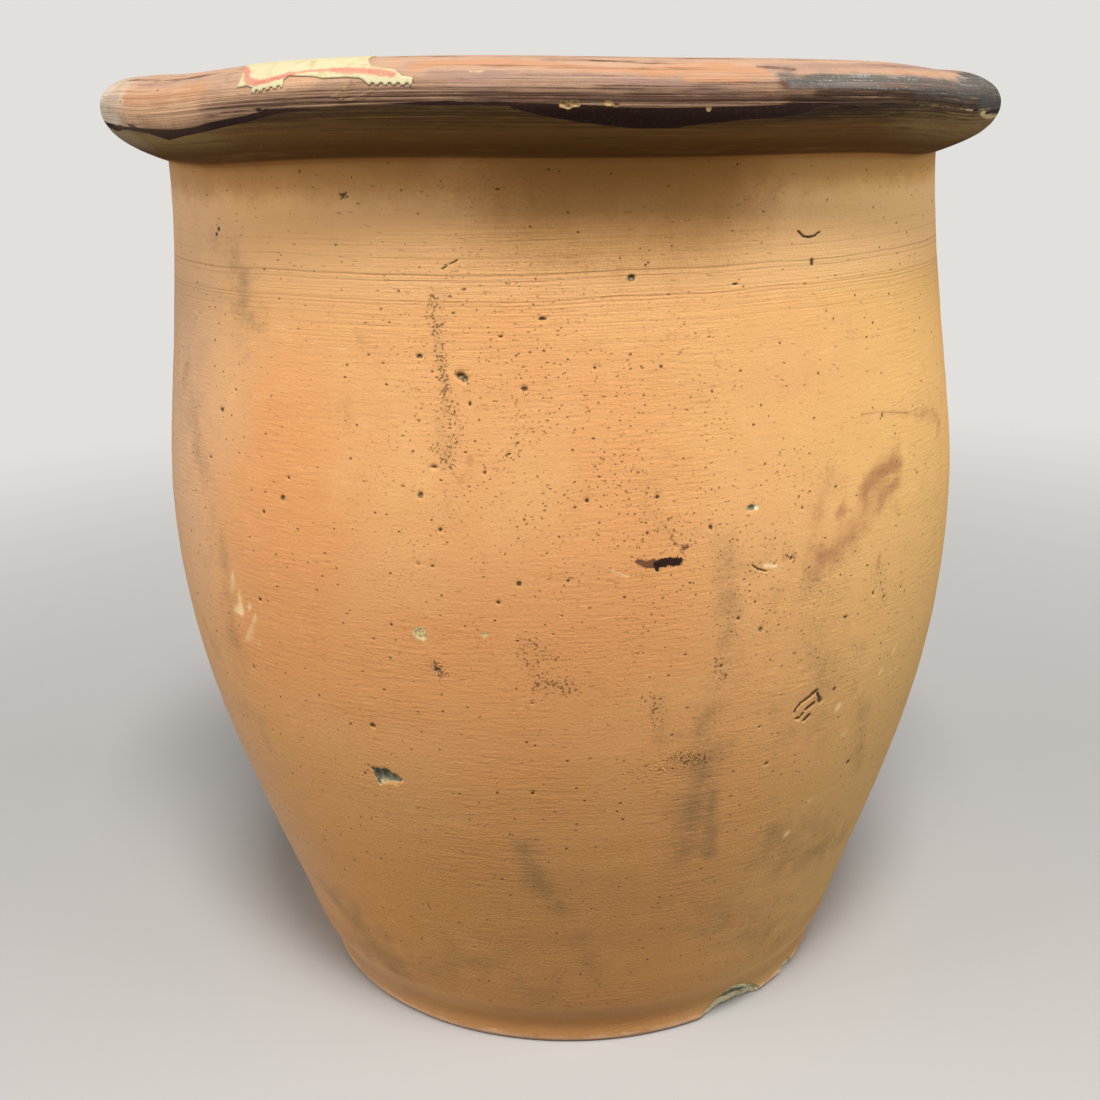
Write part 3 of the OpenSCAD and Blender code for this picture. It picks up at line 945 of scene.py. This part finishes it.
class PotFinish:
    """The layers of the pot's finish, and the noises that they share"""

    def __init__(self, colours, section):
        self.recipe = recipe = Recipe(bpy.data.materials.new("fired_clay"))
        self.colours = colours
        self.section = section
        self.place = recipe.stored("thrown", "Vector")
        self.run = recipe.stored("run")
        self.clouds = recipe.stored("clouds")
        self.patches = recipe.noise(self.place, 0.11, 2.0, 0.6)
        self.grain = recipe.noise(self.place, 1.1, 2.0, 0.65)
        self.streaks = recipe.noise(recipe.scaled(self.place, (0.12, 0.12, 1.0)), 0.9, 2.0, 0.65)
        self.grooves = recipe.noise(recipe.scaled(self.place, (0.009, 0.009, 1.0)), 1.7, 2.0, 0.65)
        skin = recipe.add("ShaderNodeUVMap", {"uv_map": "skin"})
        shaken = recipe.add("ShaderNodeCombineXYZ", {}, {0: self.grain * 1.4, 1: self.streaks * 1.0})
        self.ragged = recipe.add("ShaderNodeVectorMath", {"operation": "ADD"}, {0: skin, 1: shaken})
        slant = {"vector_type": "POINT"}, {"Vector": self.ragged, "Rotation": (0.0, 0.0, 0.09)}
        self.slanted = recipe.add("ShaderNodeMapping", *slant)
        self.wobble = (self.patches - 0.5) + (self.grain - 0.5) * 0.6

    def marked(self, name, rough, low, high, strength=1.0):
        """Where a stored mark shows, with an edge that this much noise roughens"""
        value = self.recipe.stored(name) + self.wobble * rough
        return self.recipe.ramp(value, low, high, 0.0, strength)

    def between(self, bottom, bottom_end, top, top_end, waver=0.0):
        """1 between two heights on the outside, with soft edges that waver by some millimetres"""
        at = self.section.run_at
        run = self.run + self.wobble * waver if waver else self.run
        rise = self.recipe.ramp(run, at(bottom), at(bottom_end))
        return rise * self.recipe.ramp(run, at(top_end), at(top))

    def lines(self, rings, low, high, waver):
        """1 apart from rings round the pot, which waver by some millimetres"""
        start, end = self.section.run_at(low), self.section.run_at(high)
        run = self.run + (self.clouds - 0.5) * waver
        sockets = {"Value": run, "From Min": start, "From Max": end}
        line = self.recipe.add("ShaderNodeMapRange", {}, sockets)
        stops = {"stops": ring_stops(self.section, rings, low, high)}
        return self.recipe.add("ShaderNodeValToRGB", stops, {0: line})

    def bare_clay(self):
        """The fired clay itself, in its uneven colours, with painted shade towards the bottom and under the
        rim, and painted light on the neck
        """
        mix, ramp, colours, clouds = self.recipe.mix, self.recipe.ramp, self.colours, self.clouds
        stored, at = self.recipe.stored, self.section.run_at
        clay = mix(ramp(stored("flash") + (clouds - 0.5) * 1.2, 0.15, 0.85), colours.clay, colours.flashed)
        clay = mix(ramp(stored("yellow") + (clouds - 0.5) * 0.8, 0.1, 0.8), clay, colours.yellow)
        # Painted shade: the clay darkens and browns towards the bottom, as the light falls off down the pot
        low = ramp(self.run + (self.patches - 0.5) * 60, at(205), at(40), 0.0, 0.85)
        clay = mix(low, clay, colours.low_shade)
        clay = mix(self.marked("ash", 0.3, 0.15, 0.85, 0.85), clay, colours.ashy)
        clay = mix(self.marked("moss", 0.35, 0.1, 0.85, 0.8), clay, colours.mossy)
        uneven = (self.streaks - 0.5) * 0.6 + (self.grain - 0.5) * 0.5 + (self.patches - 0.5) * 0.6
        clay = mix(ramp(uneven, 0.02, 0.42, 0.0, 0.5), clay, colours.dragged)
        clay = mix(ramp(uneven, -0.02, -0.45, 0.0, 0.3), clay, TINTS["lit"])
        # Painted light: a band of the neck is lightened, more where the clay is yellow, as the neck faces a
        # little downwards and gets less light
        neck = self.between(256, 268, 284, 292, 4.0) * ramp(stored("yellow"), 0.0, 1.0, 0.3, 0.7)
        clay = mix(neck, clay, TINTS["neck"])
        # Painted shadow of the rim on the neck, and painted shade right under the rim's corner
        clay = mix(self.marked("dusk", 0.3, 0.1, 0.9, 0.8), clay, colours.dusk)
        return mix(self.between(284, 293, 300, 302, 3.0) * 0.5, clay, colours.dusk)

    def pores(self):
        """Fine pores, coarse ones and the nicks that the thrower's hands dragged open"""
        recipe, ragged = self.recipe, self.ragged
        off_base = recipe.ramp(self.run, self.section.run_at(4), self.section.run_at(16))
        density = recipe.ramp(recipe.stored("pores") + (self.clouds - 0.5) * 0.8, 0.1, 0.9)
        crowd = recipe.ramp(recipe.stored("crowd"), 0.32, 0.54)
        fine = recipe.specks(ragged, 1.2, 1.5, 0.34, 0.75) * density * crowd
        coarse = recipe.specks(ragged, 1.3, 3.9, 0.44, 0.46)
        nicks = recipe.specks(self.slanted, 4.0, 2.2, 0.3, 0.5)
        return fine * off_base, coarse * off_base, nicks * off_base

    def dirty(self, clay):
        """Old dirt, soot and brush marks on the clay"""
        mix, ramp, colours = self.recipe.mix, self.recipe.ramp, self.colours
        clay = mix(self.marked("grime", 0.9, 0.12, 1.0, 0.66), clay, colours.grime)
        soot = self.recipe.stored("soot")
        clay = mix(ramp(soot, 0.2, 1.0, 0.0, 0.16), clay, colours.grime)
        sooty = ramp(soot * 0.3 + self.grain, 0.68, 0.76, 0.0, 0.66)
        clay = mix(sooty * ramp(soot, 0.02, 0.2), clay, colours.soot)
        clay = mix(self.marked("smear", 0.5, 0.06, 0.95, 0.68), clay, colours.slip)
        clay = mix(self.marked("dab", 0.8, 0.3, 0.6, 0.85), clay, colours.dab)
        clay = mix(self.marked("lime", 0.5, 0.15, 0.75, 0.85), clay, colours.lime)
        return clay

    def under_rim(self, clay, fine):
        """Thin olive glaze under the rim, with painted shade in the middle of the front and a painted shadow
        under the dark band, and darker near the neck
        """
        mix, ramp, colours, at = self.recipe.mix, self.recipe.ramp, self.colours, self.section.run_at
        # Painted shade: the underside is darker in the middle of the front
        olive = mix(self.marked("dim", 0.3, 0.15, 0.8), colours.olive, colours.dim)
        olive = mix(ramp(self.run + fine * 5, at(304.0), at(299.5), 0.0, 0.9), olive, colours.murky)
        # Painted shadow: a dark brown fringe under the dark glaze band, strongest in the middle of the front
        edge = ramp(self.run + fine * 14, at(304.0), at(309.0))
        edge = edge * ramp(self.recipe.stored("dim"), 0.0, 0.5, 0.3, 0.8)
        olive = mix(edge, olive, colours.burnt)
        olive = mix(ramp(fine, 0.02, 0.2, 0.0, 0.55), olive, colours.murky)
        olive = mix(ramp(fine, -0.04, -0.2, 0.0, 0.3), olive, TINTS["wash"])
        olive = mix(self.marked("bone", 0.3, 0.1, 0.7, 0.6), olive, TINTS["grey wash"])
        return mix(ramp(self.run, at(296.6), at(297.6), 0.0, 0.97), clay, olive)

    def rim(self, clay):
        """Worn glazes over the rim's side and top, with painted glints on the slate glaze and painted shade
        under the rim
        """
        mix, ramp, colours = self.recipe.mix, self.recipe.ramp, self.colours
        at, stored = self.section.run_at, self.recipe.stored
        fine = (self.grooves - 0.5) + (self.streaks - 0.5) * 0.4
        clay = self.under_rim(clay, fine)
        high = ramp(self.run + self.wobble * 4 + fine * 6, at(312.6), at(317.0))
        rim = mix(high, colours.ridged, colours.worn)
        rim = mix(ramp(self.patches + fine * 0.6, 0.52, 0.7, 0.0, 0.5), rim, colours.lilac)
        smooth = self.marked("tan", 0.5, 0.15, 0.8)
        pale_end = self.marked("bone", 0.6, 0.05, 0.85)
        rim = mix(pale_end, mix(smooth, rim, colours.tan), colours.bone)
        plain = 1 - smooth.over(pale_end) * 0.75
        lilac = stored("lilac") + self.wobble * 0.5 + fine * 0.5
        rim = mix(ramp(lilac, 0.2, 0.75, 0.0, 0.8), rim, colours.lilac)
        rim = mix(ramp(stored("peach") + self.wobble * 0.6 + fine, 0.3, 0.62), rim, colours.peach)
        umber = stored("umber") + self.wobble * 0.4 + fine * 1.3
        rim = mix(ramp(umber, 0.25, 0.75, 0.0, 0.85), rim, colours.umber)
        rim = mix(ramp(fine, 0.05, 0.24, 0.0, 0.5) * plain, rim, colours.umber)
        rim = mix(ramp(fine, -0.06, -0.24, 0.0, 0.35) * plain, rim, TINTS["rubbed ridge"])
        lines = self.lines(RIM_LINES, 309.5, 319.5, 0.8)
        rim = mix((1 - lines) * 0.8 * plain, rim, colours.umber)
        over = ramp(stored("over") + self.wobble * 0.05 + fine * 0.08, 0.46, 0.54)
        clay = mix(over, clay, rim)
        burnt = ramp(stored("burnt") + fine * 1.5, 0.15, 0.7, 0.0, 0.9) * ramp(stored("burnt"), 0.0, 0.2)
        clay = mix(burnt, clay, colours.burnt)
        slate = ramp(stored("slate") + self.wobble * 0.5 + fine * 0.6, 0.2, 0.74)
        slate = slate * ramp(stored("slate"), 0.0, 0.2)
        # The slate is darker low on the rim's side and paler higher up; pale streaks on its upper part are
        # painted glints that stand in for highlights of the glossy glaze
        upper = ramp(self.run + self.wobble * 8, at(311.0), at(318.0))
        bloom = mix(upper, TINTS["soot grey"], colours.slate)
        shine = ramp(fine * 1.3 + (self.grain - 0.5) * 0.6, 0.0, 0.34) * upper
        clay = mix(slate * 0.9, clay, mix(shine * 0.8, bloom, colours.glint))
        torn = mix(ramp(self.patches, 0.44, 0.6), TINTS["scar"], TINTS["torn"])
        scar = ramp(stored("scar") + self.wobble * 0.7, 0.4, 0.62) * ramp(stored("scar"), 0.0, 0.2)
        clay = mix(scar * 0.8, clay, torn)
        cream = ramp(stored("cream") + self.wobble * 0.5 + fine * 0.6, 0.35, 0.7, 0.0, 0.75)
        return mix(cream, clay, colours.pale), slate

    def broken(self, clay):
        """Pits, chips and stones, with painted shade in the pits and painted light on the lower part of the
        larger ones
        """
        mix, ramp, colours = self.recipe.mix, self.recipe.ramp, self.colours
        # Painted shade: the pits, and the cracks with them, are darkened with the soot colour; the lower
        # part of the larger pits, where light falls in, takes the grey stone colour, partly the stone and
        # partly painted light
        pit = self.marked("pit", 0.6, 0.42, 0.72, 0.88)
        clay = mix(pit, clay, colours.soot)
        clay = mix(self.marked("pit_floor", 0.4, 0.4, 0.75, 0.75), clay, colours.stone)
        grit = self.patches * 0.35 + self.grain * 0.65
        face = mix(ramp(grit, 0.34, 0.52), TINTS["broken"], TINTS["fresh break"])
        face = mix(self.marked("shade", 0.6, 0.25, 0.6, 0.85), face, TINTS["break shade"])
        clay = mix(self.marked("stone", 0.25, 0.4, 0.52), clay, face)
        chip = mix(ramp(self.grain, 0.42, 0.6, 0.0, 0.6), colours.pale, TINTS["chip shade"])
        at = self.section.run_at
        chip = mix(ramp(self.run, at(290), at(300), 0.0, 0.62), chip, TINTS["rim chip"])
        return mix(self.marked("pale", 0.9, 0.42, 0.55), clay, chip)

    def material(self):
        """The whole finish"""
        recipe, colours = self.recipe, self.colours
        mix, ramp, at = recipe.mix, recipe.ramp, self.section.run_at
        fine, coarse, nicks = self.pores()
        rings = self.lines(RINGS, 248, 282, 3.0)
        clay = self.bare_clay()
        clay = mix((1 - rings) * 0.5, clay, TINTS["ring"])
        clay = mix((fine * 0.72).over(nicks * 0.3), clay, colours.pore)
        clay = mix(coarse * 0.8, clay, colours.soot)
        clay = self.dirty(clay)
        rubbed = self.between(0.1, 0.5, 1.4, 3.6, 3.0)
        # Painted light and shade round the foot, which evens out the shading where it curves in
        for tint, share, *band in FOOT_BANDS:
            clay = mix(self.between(*band) * share, clay, TINTS[tint])
        clay = mix(rubbed * 0.85, clay, TINTS["worn foot"])
        clay, slate = self.rim(clay)
        thick = ramp(recipe.stored("glaze") + self.wobble * 0.12 + (self.grooves - 0.5) * 0.2, 0.44, 0.54)
        thick = thick * ramp(recipe.stored("tan"), 0.0, 0.6, 1.0, 0.72)
        spilt = self.marked("blotch", 0.8, 0.42, 0.58)
        brown = ramp(self.grain, 0.5, 0.7, 0.0, 0.5)
        clay = mix(thick.over(spilt), clay, mix(brown, colours.glaze, TINTS["thin glaze"]))
        clay = self.broken(clay)
        relief = (self.streaks - 0.5) * ramp(self.clouds, 0.4, 0.6, 0.06, 0.2)
        relief = relief + (self.grain - 0.5) * 0.16 + rings * 0.16
        torn_up = ramp(recipe.stored("scuff"), 0.2, 0.7, 0.0, 1.6)
        relief = relief + (self.streaks - 0.5) * (self.grain - 0.5) * torn_up * 6
        scar = ramp(recipe.stored("scar"), 0.3, 0.8)
        relief = relief + scar * (self.grain + 0.4) * 0.5
        grooved = ramp(recipe.stored("over"), 0.4, 0.6, 0.3, 0.6) * ramp(self.run, at(294), at(300))
        relief = relief + (self.grooves - 0.5) * (grooved + self.between(230, 262, 288, 297) * 0.2)
        relief = relief * ramp(recipe.stored("glaze"), 0.44, 0.54, 1.0, 0.4)
        inside = ramp(self.run, self.section.crest + 2, self.section.crest + 9)
        glossy = (inside * 0.9).over(slate * 0.7).over(thick * 0.12).over(spilt * 0.1)
        return recipe.finish({
            "Base Color": clay, "Roughness": 0.86 - glossy * 0.5, "Normal": recipe.bump(relief),
            "Coat Weight": glossy * 0.7, "Coat Roughness": 0.14, "Specular IOR Level": 0.22,
        })


def paper_material(colours):
    """Old cream label paper with its border line"""
    recipe = Recipe(bpy.data.materials.new("label_paper"))
    ramp, mix = recipe.ramp, recipe.mix
    place = recipe.stored("thrown", "Vector")
    mottle = recipe.noise(place, 0.35, 3.0, 0.6)
    fibre = recipe.noise(place, 2.5, 2.0, 0.6)
    paper = mix(ramp(mottle + (fibre - 0.5) * 0.3, 0.5, 0.72, 0.0, 0.85), colours.paper, colours.stained)
    line = ramp(recipe.stored("border") + (mottle - 0.5) * 0.9 + (fibre - 0.5) * 0.8, 0.28, 0.72)
    paper = mix(line * ramp(mottle, 0.3, 0.7, 0.9, 0.55), paper, colours.ink)
    paper = mix(ramp(fibre, 0.55, 0.75, 0.0, 0.35), paper, TINTS["bleached paper"])
    return recipe.finish({
        "Base Color": paper, "Roughness": 0.8, "Normal": recipe.bump(mottle * 0.15 + fibre * 0.05),
        "Specular IOR Level": 0.3,
    })


def glaze_fields(surface):
    """Where the dark glaze lies, inside and in a band with drips under the rim's edge, and what is
    above that band"""
    section = surface.section
    inside = steps_up(surface.run, section.crest + 1, section.crest + 7)
    turns, lower, upper = np.array(GLAZE_BAND).T
    low = section.run_at(np.interp(surface.azimuth, turns, lower))
    high = section.run_at(np.interp(surface.azimuth, turns, upper))
    far = np.abs(surface.run - (low + high) / 2) / np.maximum((high - low) / 2, 0.2)
    lines = most(surface.stroke(*line) for line in GLAZE_LINES)
    band = np.maximum(np.clip(1 - far / 2, 0, 1), lines)
    return {"glaze": np.maximum(inside, band), "over": np.clip(0.5 + (surface.run - high) / 8, 0, 1)}


def clay_fields(surface, taken):
    """Every soft mark on the pot, as a value at each vertex under the name that the material reads"""
    spot, stroke = surface.spot, surface.stroke
    cracks = most(stroke(places, wide, min(1, 0.62 + deep)) for places, wide, deep in CRACKS)
    pits = most(spot(*pit[:4]) for pit in PITS)
    # The lower part of each larger pit, which takes the stone colour as painted light
    lit_floors = most(
        spot(azimuth, height - 0.3 * high, 0.5 * wide, 0.45 * high)
        for azimuth, height, wide, high, _ in PITS if wide > 0.85 and high > 0.65
    )
    strokes = {
        "smear": SMEARS, "dab": DABS, "grime": GRIME, "soot": SOOT, "lime": LIME, "scuff": SCUFFS,
        "peach": PEACH, "lilac": LILAC, "umber": UMBER, "slate": SLATE, "cream": CREAM, "bone": BONE,
        "tan": TAN, "burnt": BURNT, "scar": SCAR,
    }
    fields = {name: most(stroke(*mark) for mark in marks) for name, marks in strokes.items()}
    return {
        **fields,
        **glaze_fields(surface),
        # The pits' painted shade, which also darkens the cracks
        "pit": np.maximum(pits, cracks),
        "pit_floor": lit_floors,
        "pale": most(spot(*chip[:4]) for chip in PALE_SPOTS),
        "stone": np.maximum(most(spot(*s[:4]) for s in STONE_PITS), steps_up(taken, 0.0, 0.5)),
        "shade": most(stroke(*mark) for mark in SHADES),
        # Painted shade under the rim: the rim's shadow on the neck, and the darker underside in the middle
        # of the front
        "dusk": most((stroke(((0, 294), (16, 292)), 21), stroke(((-60, 298), (-18, 298)), 11, 0.8))),
        "dim": stroke(((-32, 303), (34, 303)), 15),
        "clouds": 0.5 + slow_noise(surface.places, 45, 3) * 0.3,
        "crowd": 0.5 + slow_noise(surface.places, 16, 2, 60) * 0.33,
        "blotch": most(spot(*blotch) for blotch in BLOTCHES),
        **{name: most(part * spot(*place) for part, *place in parts) for name, parts in CLOUDS.items()},
        "pores": 0.1 + 0.9 * most(spot(*place) for place in PORE_CLOUDS),
    }


class CLAYPOT_OT_pot(bpy.types.Operator):
    """Makes the thrown pot from the CAD node's outline, with its marks and finish"""

    bl_idname = "claypot.pot"
    bl_label = "Make the pot"

    def execute(self, context):
        settings = context.scene.clay_pot
        section = Section(cut_section(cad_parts["pot"]))
        bm = spin_pot(section, settings.shape.columns)
        marks = small_marks()
        for split in SPLITS:
            refine(bm, section, marks, *split)
        refine(bm, section, thin_marks(), *CRACK_SPLIT)
        surface = surface_of(bm, section)
        relief = thrown_relief(surface) - dug(surface)
        moved = surface.places + surface.normals * relief[:, None]
        taken = np.zeros(len(moved))
        for chip in FLAKES:
            moved, gone = flake(moved, *chip, section.radius_at(4))
            taken = np.maximum(taken, gone)
        moved[:, 2] = np.maximum(moved[:, 2], 0)
        mesh = finish_mesh(bm, "pot", warp(moved, settings.shape))
        add_skin_map(mesh, surface)
        add_values(mesh, "thrown", surface.places)
        for name, values in clay_fields(surface, taken).items():
            add_values(mesh, name, values)
        pot = make_piece("thrown_pot", mesh, "pot")
        pot.data.materials.append(PotFinish(settings.colours, section).material())
        return {"FINISHED"}


class CLAYPOT_OT_label(bpy.types.Operator):
    """Makes the torn paper scrap on the rim from its CAD node"""

    bl_idname = "claypot.label"
    bl_label = "Make the label scrap"

    # The border line: the places it runs through, its half width and its strength
    BORDER = (
        (((-34.9, 320.7), (-33.3, 319.2), (-32.9, 317.8), (-32.2, 316.7), (-31.1, 316.2)), 0.95, 1.0),
        (((-31.1, 316.2), (-30.0, 316.5), (-28.6, 317.2), (-27.1, 318.0)), 0.8, 1.0),
        (((-27.1, 318.0), (-25.1, 318.5), (-22.4, 318.5)), 0.6, 0.8),
        (((-22.4, 318.5), (-19.8, 318.2), (-17.5, 317.6), (-15.7, 316.9)), 1.05, 0.9),
    )

    def execute(self, context):
        settings = context.scene.clay_pot
        bm = bmesh.new()
        bm.from_mesh(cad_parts["label_scrap"].data)
        bmesh.ops.remove_doubles(bm, verts=bm.verts, dist=WELD)
        for _ in range(4):
            long = [e for e in bm.edges if e.calc_length() > PAPER_CELL * MM]
            bmesh.ops.subdivide_edges(bm, edges=long, cuts=1)
            bmesh.ops.triangulate(bm, faces=bm.faces)
        section = Section(cut_section(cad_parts["pot"]))
        places = np.array([v.co for v in bm.verts]) / MM
        azimuth = np.degrees(np.arctan2(places[:, 0], -places[:, 1]))
        rim = (section.run > section.run_at(305)) & (section.run < section.crest + 4)
        away = np.hypot(
            np.hypot(places[:, 0], places[:, 1])[:, None] - section.radius[None, rim],
            places[:, 2:3] - section.height[None, rim],
        )
        surface = Turned(section, azimuth, section.run[rim][away.argmin(1)])
        off = np.clip(away.min(1), 0, PAPER_THICK) + PAPER_GAP
        moved = surface.places + surface.normals * (thrown_relief(surface) + off)[:, None]
        mesh = finish_mesh(bm, "label_scrap", warp(moved, settings.shape))
        add_values(mesh, "thrown", surface.places)
        add_values(mesh, "border", most(surface.stroke(*part) for part in self.BORDER))
        label = make_piece("paper_scrap", mesh, "label_scrap")
        label.data.materials.append(paper_material(settings.colours))
        return {"FINISHED"}


class CLAYPOT_OT_stage(bpy.types.Operator):
    """Sets up the floor, the backdrop, the soft lamps and the camera"""

    bl_idname = "claypot.stage"
    bl_label = "Make the stage"

    def execute(self, context):
        stage = context.scene.clay_pot.stage
        scene = context.scene
        scene.view_settings.view_transform = "Standard"
        self.add_floor(scene, stage)
        self.add_world(scene, stage)
        for name, place in LAMPS.items():
            self.add_lamp(scene, name, getattr(stage, f"{name}_power"), *place)
        self.add_camera(scene, stage)
        return {"FINISHED"}

    @staticmethod
    def add_floor(scene, stage):
        """A round floor that fades into the backdrop"""
        bm = bmesh.new()
        bmesh.ops.create_circle(bm, cap_ends=True, segments=96, radius=FLOOR_RADIUS)
        mesh = bpy.data.meshes.new("floor")
        bm.to_mesh(mesh)
        bm.free()
        floor = bpy.data.objects.new("floor", mesh)
        scene.collection.objects.link(floor)
        recipe = Recipe(bpy.data.materials.new("floor"))
        spot = recipe.add("ShaderNodeTexCoord", {}, {}, "Object")
        far = recipe.add("ShaderNodeVectorMath", {"operation": "LENGTH"}, {0: spot}, "Value")
        dark = TINTS["floor bounce"]
        seen = recipe.add("ShaderNodeLightPath", {}, {}, "Is Camera Ray")
        shown = recipe.mix(seen, dark, tuple(stage.floor))
        plain = recipe.add("ShaderNodeBsdfDiffuse", {}, {"Color": shown})
        glow = recipe.add("ShaderNodeEmission", {}, {"Color": (*stage.backdrop, 1.0), "Strength": 1.0})
        share = recipe.ramp(far, *FLOOR_FADE) * seen
        both = recipe.add("ShaderNodeMixShader", {}, {0: share, 1: plain, 2: glow})
        recipe.add("ShaderNodeOutputMaterial", {}, {"Surface": both})
        mesh.materials.append(recipe.owner)

    @staticmethod
    def add_world(scene, stage):
        """A pale backdrop for the camera, and an even light from all round"""
        scene.world = bpy.data.worlds.new("backdrop")
        recipe = Recipe(scene.world)
        seen = recipe.add("ShaderNodeLightPath", {}, {}, "Is Camera Ray")
        strength = recipe.add("ShaderNodeMapRange", {}, {"Value": seen, "To Min": stage.sky})
        sockets = {"Color": (*stage.backdrop, 1.0), "Strength": strength}
        light = recipe.add("ShaderNodeBackground", {}, sockets)
        recipe.add("ShaderNodeOutputWorld", {}, {"Surface": light})

    @staticmethod
    def add_lamp(scene, name, power, size, azimuth, elevation, away):
        """A soft square lamp that faces the middle of the pot"""
        data = bpy.data.lights.new(name, "AREA")
        data.energy = power
        data.size = size
        lamp = bpy.data.objects.new(name, data)
        a, e = math.radians(azimuth), math.radians(elevation)
        way = Vector((math.sin(a) * math.cos(e), -math.cos(a) * math.cos(e), math.sin(e)))
        lamp.location = Vector((0, 0, LAMP_AIM)) + way * away
        lamp.rotation_euler = (-way).to_track_quat("-Z", "Y").to_euler()
        scene.collection.objects.link(lamp)

    @staticmethod
    def add_camera(scene, stage):
        """The camera, close to the pot and about level with its rim"""
        data = bpy.data.cameras.new("camera")
        data.sensor_width = 36.0
        data.lens = stage.focal
        data.clip_start = 0.01
        camera = bpy.data.objects.new("camera", data)
        ahead = Vector((0, math.cos(stage.pitch), -math.sin(stage.pitch)))
        level = Vector((1, 0, 0))
        raised = Vector((0, math.sin(stage.pitch), math.cos(stage.pitch)))
        right = level * math.cos(stage.roll) - raised * math.sin(stage.roll)
        above = raised * math.cos(stage.roll) + level * math.sin(stage.roll)
        turn = Matrix((right, above, -ahead)).transposed()
        camera.matrix_world = Matrix.Translation(stage.eye) @ turn.to_4x4()
        scene.collection.objects.link(camera)
        scene.camera = camera


class CLAYPOT_PT_panel(bpy.types.Panel):
    """Lists the pot's settings and the steps that make it"""

    bl_idname = "CLAYPOT_PT_panel"
    bl_label = "Clay pot"
    bl_space_type = "VIEW_3D"
    bl_region_type = "UI"
    bl_category = "Clay pot"

    def draw(self, context):
        settings = context.scene.clay_pot
        for group in (settings.shape, settings.colours, settings.stage):
            box = self.layout.box()
            for name in group.__annotations__:
                box.prop(group, name)
        for step in STEPS:
            self.layout.operator(step.bl_idname)


GROUPS = (PotShape, PotColours, StageSettings, PotSettings)
STEPS = (CLAYPOT_OT_stage, CLAYPOT_OT_pot, CLAYPOT_OT_label)


def register():
    """Makes the settings, the steps and the panel known"""
    for kind in (*GROUPS, *STEPS, CLAYPOT_PT_panel):
        bpy.utils.register_class(kind)
    bpy.types.Scene.clay_pot = bpy.props.PointerProperty(type=PotSettings)


def unregister():
    """Takes the settings, the steps and the panel away again"""
    del bpy.types.Scene.clay_pot
    for kind in reversed((*GROUPS, *STEPS, CLAYPOT_PT_panel)):
        bpy.utils.unregister_class(kind)


def main():
    """Makes the whole scene"""
    register()
    bpy.ops.claypot.stage()
    bpy.ops.claypot.pot()
    bpy.ops.claypot.label()


if __name__ == "__main__":
    main()
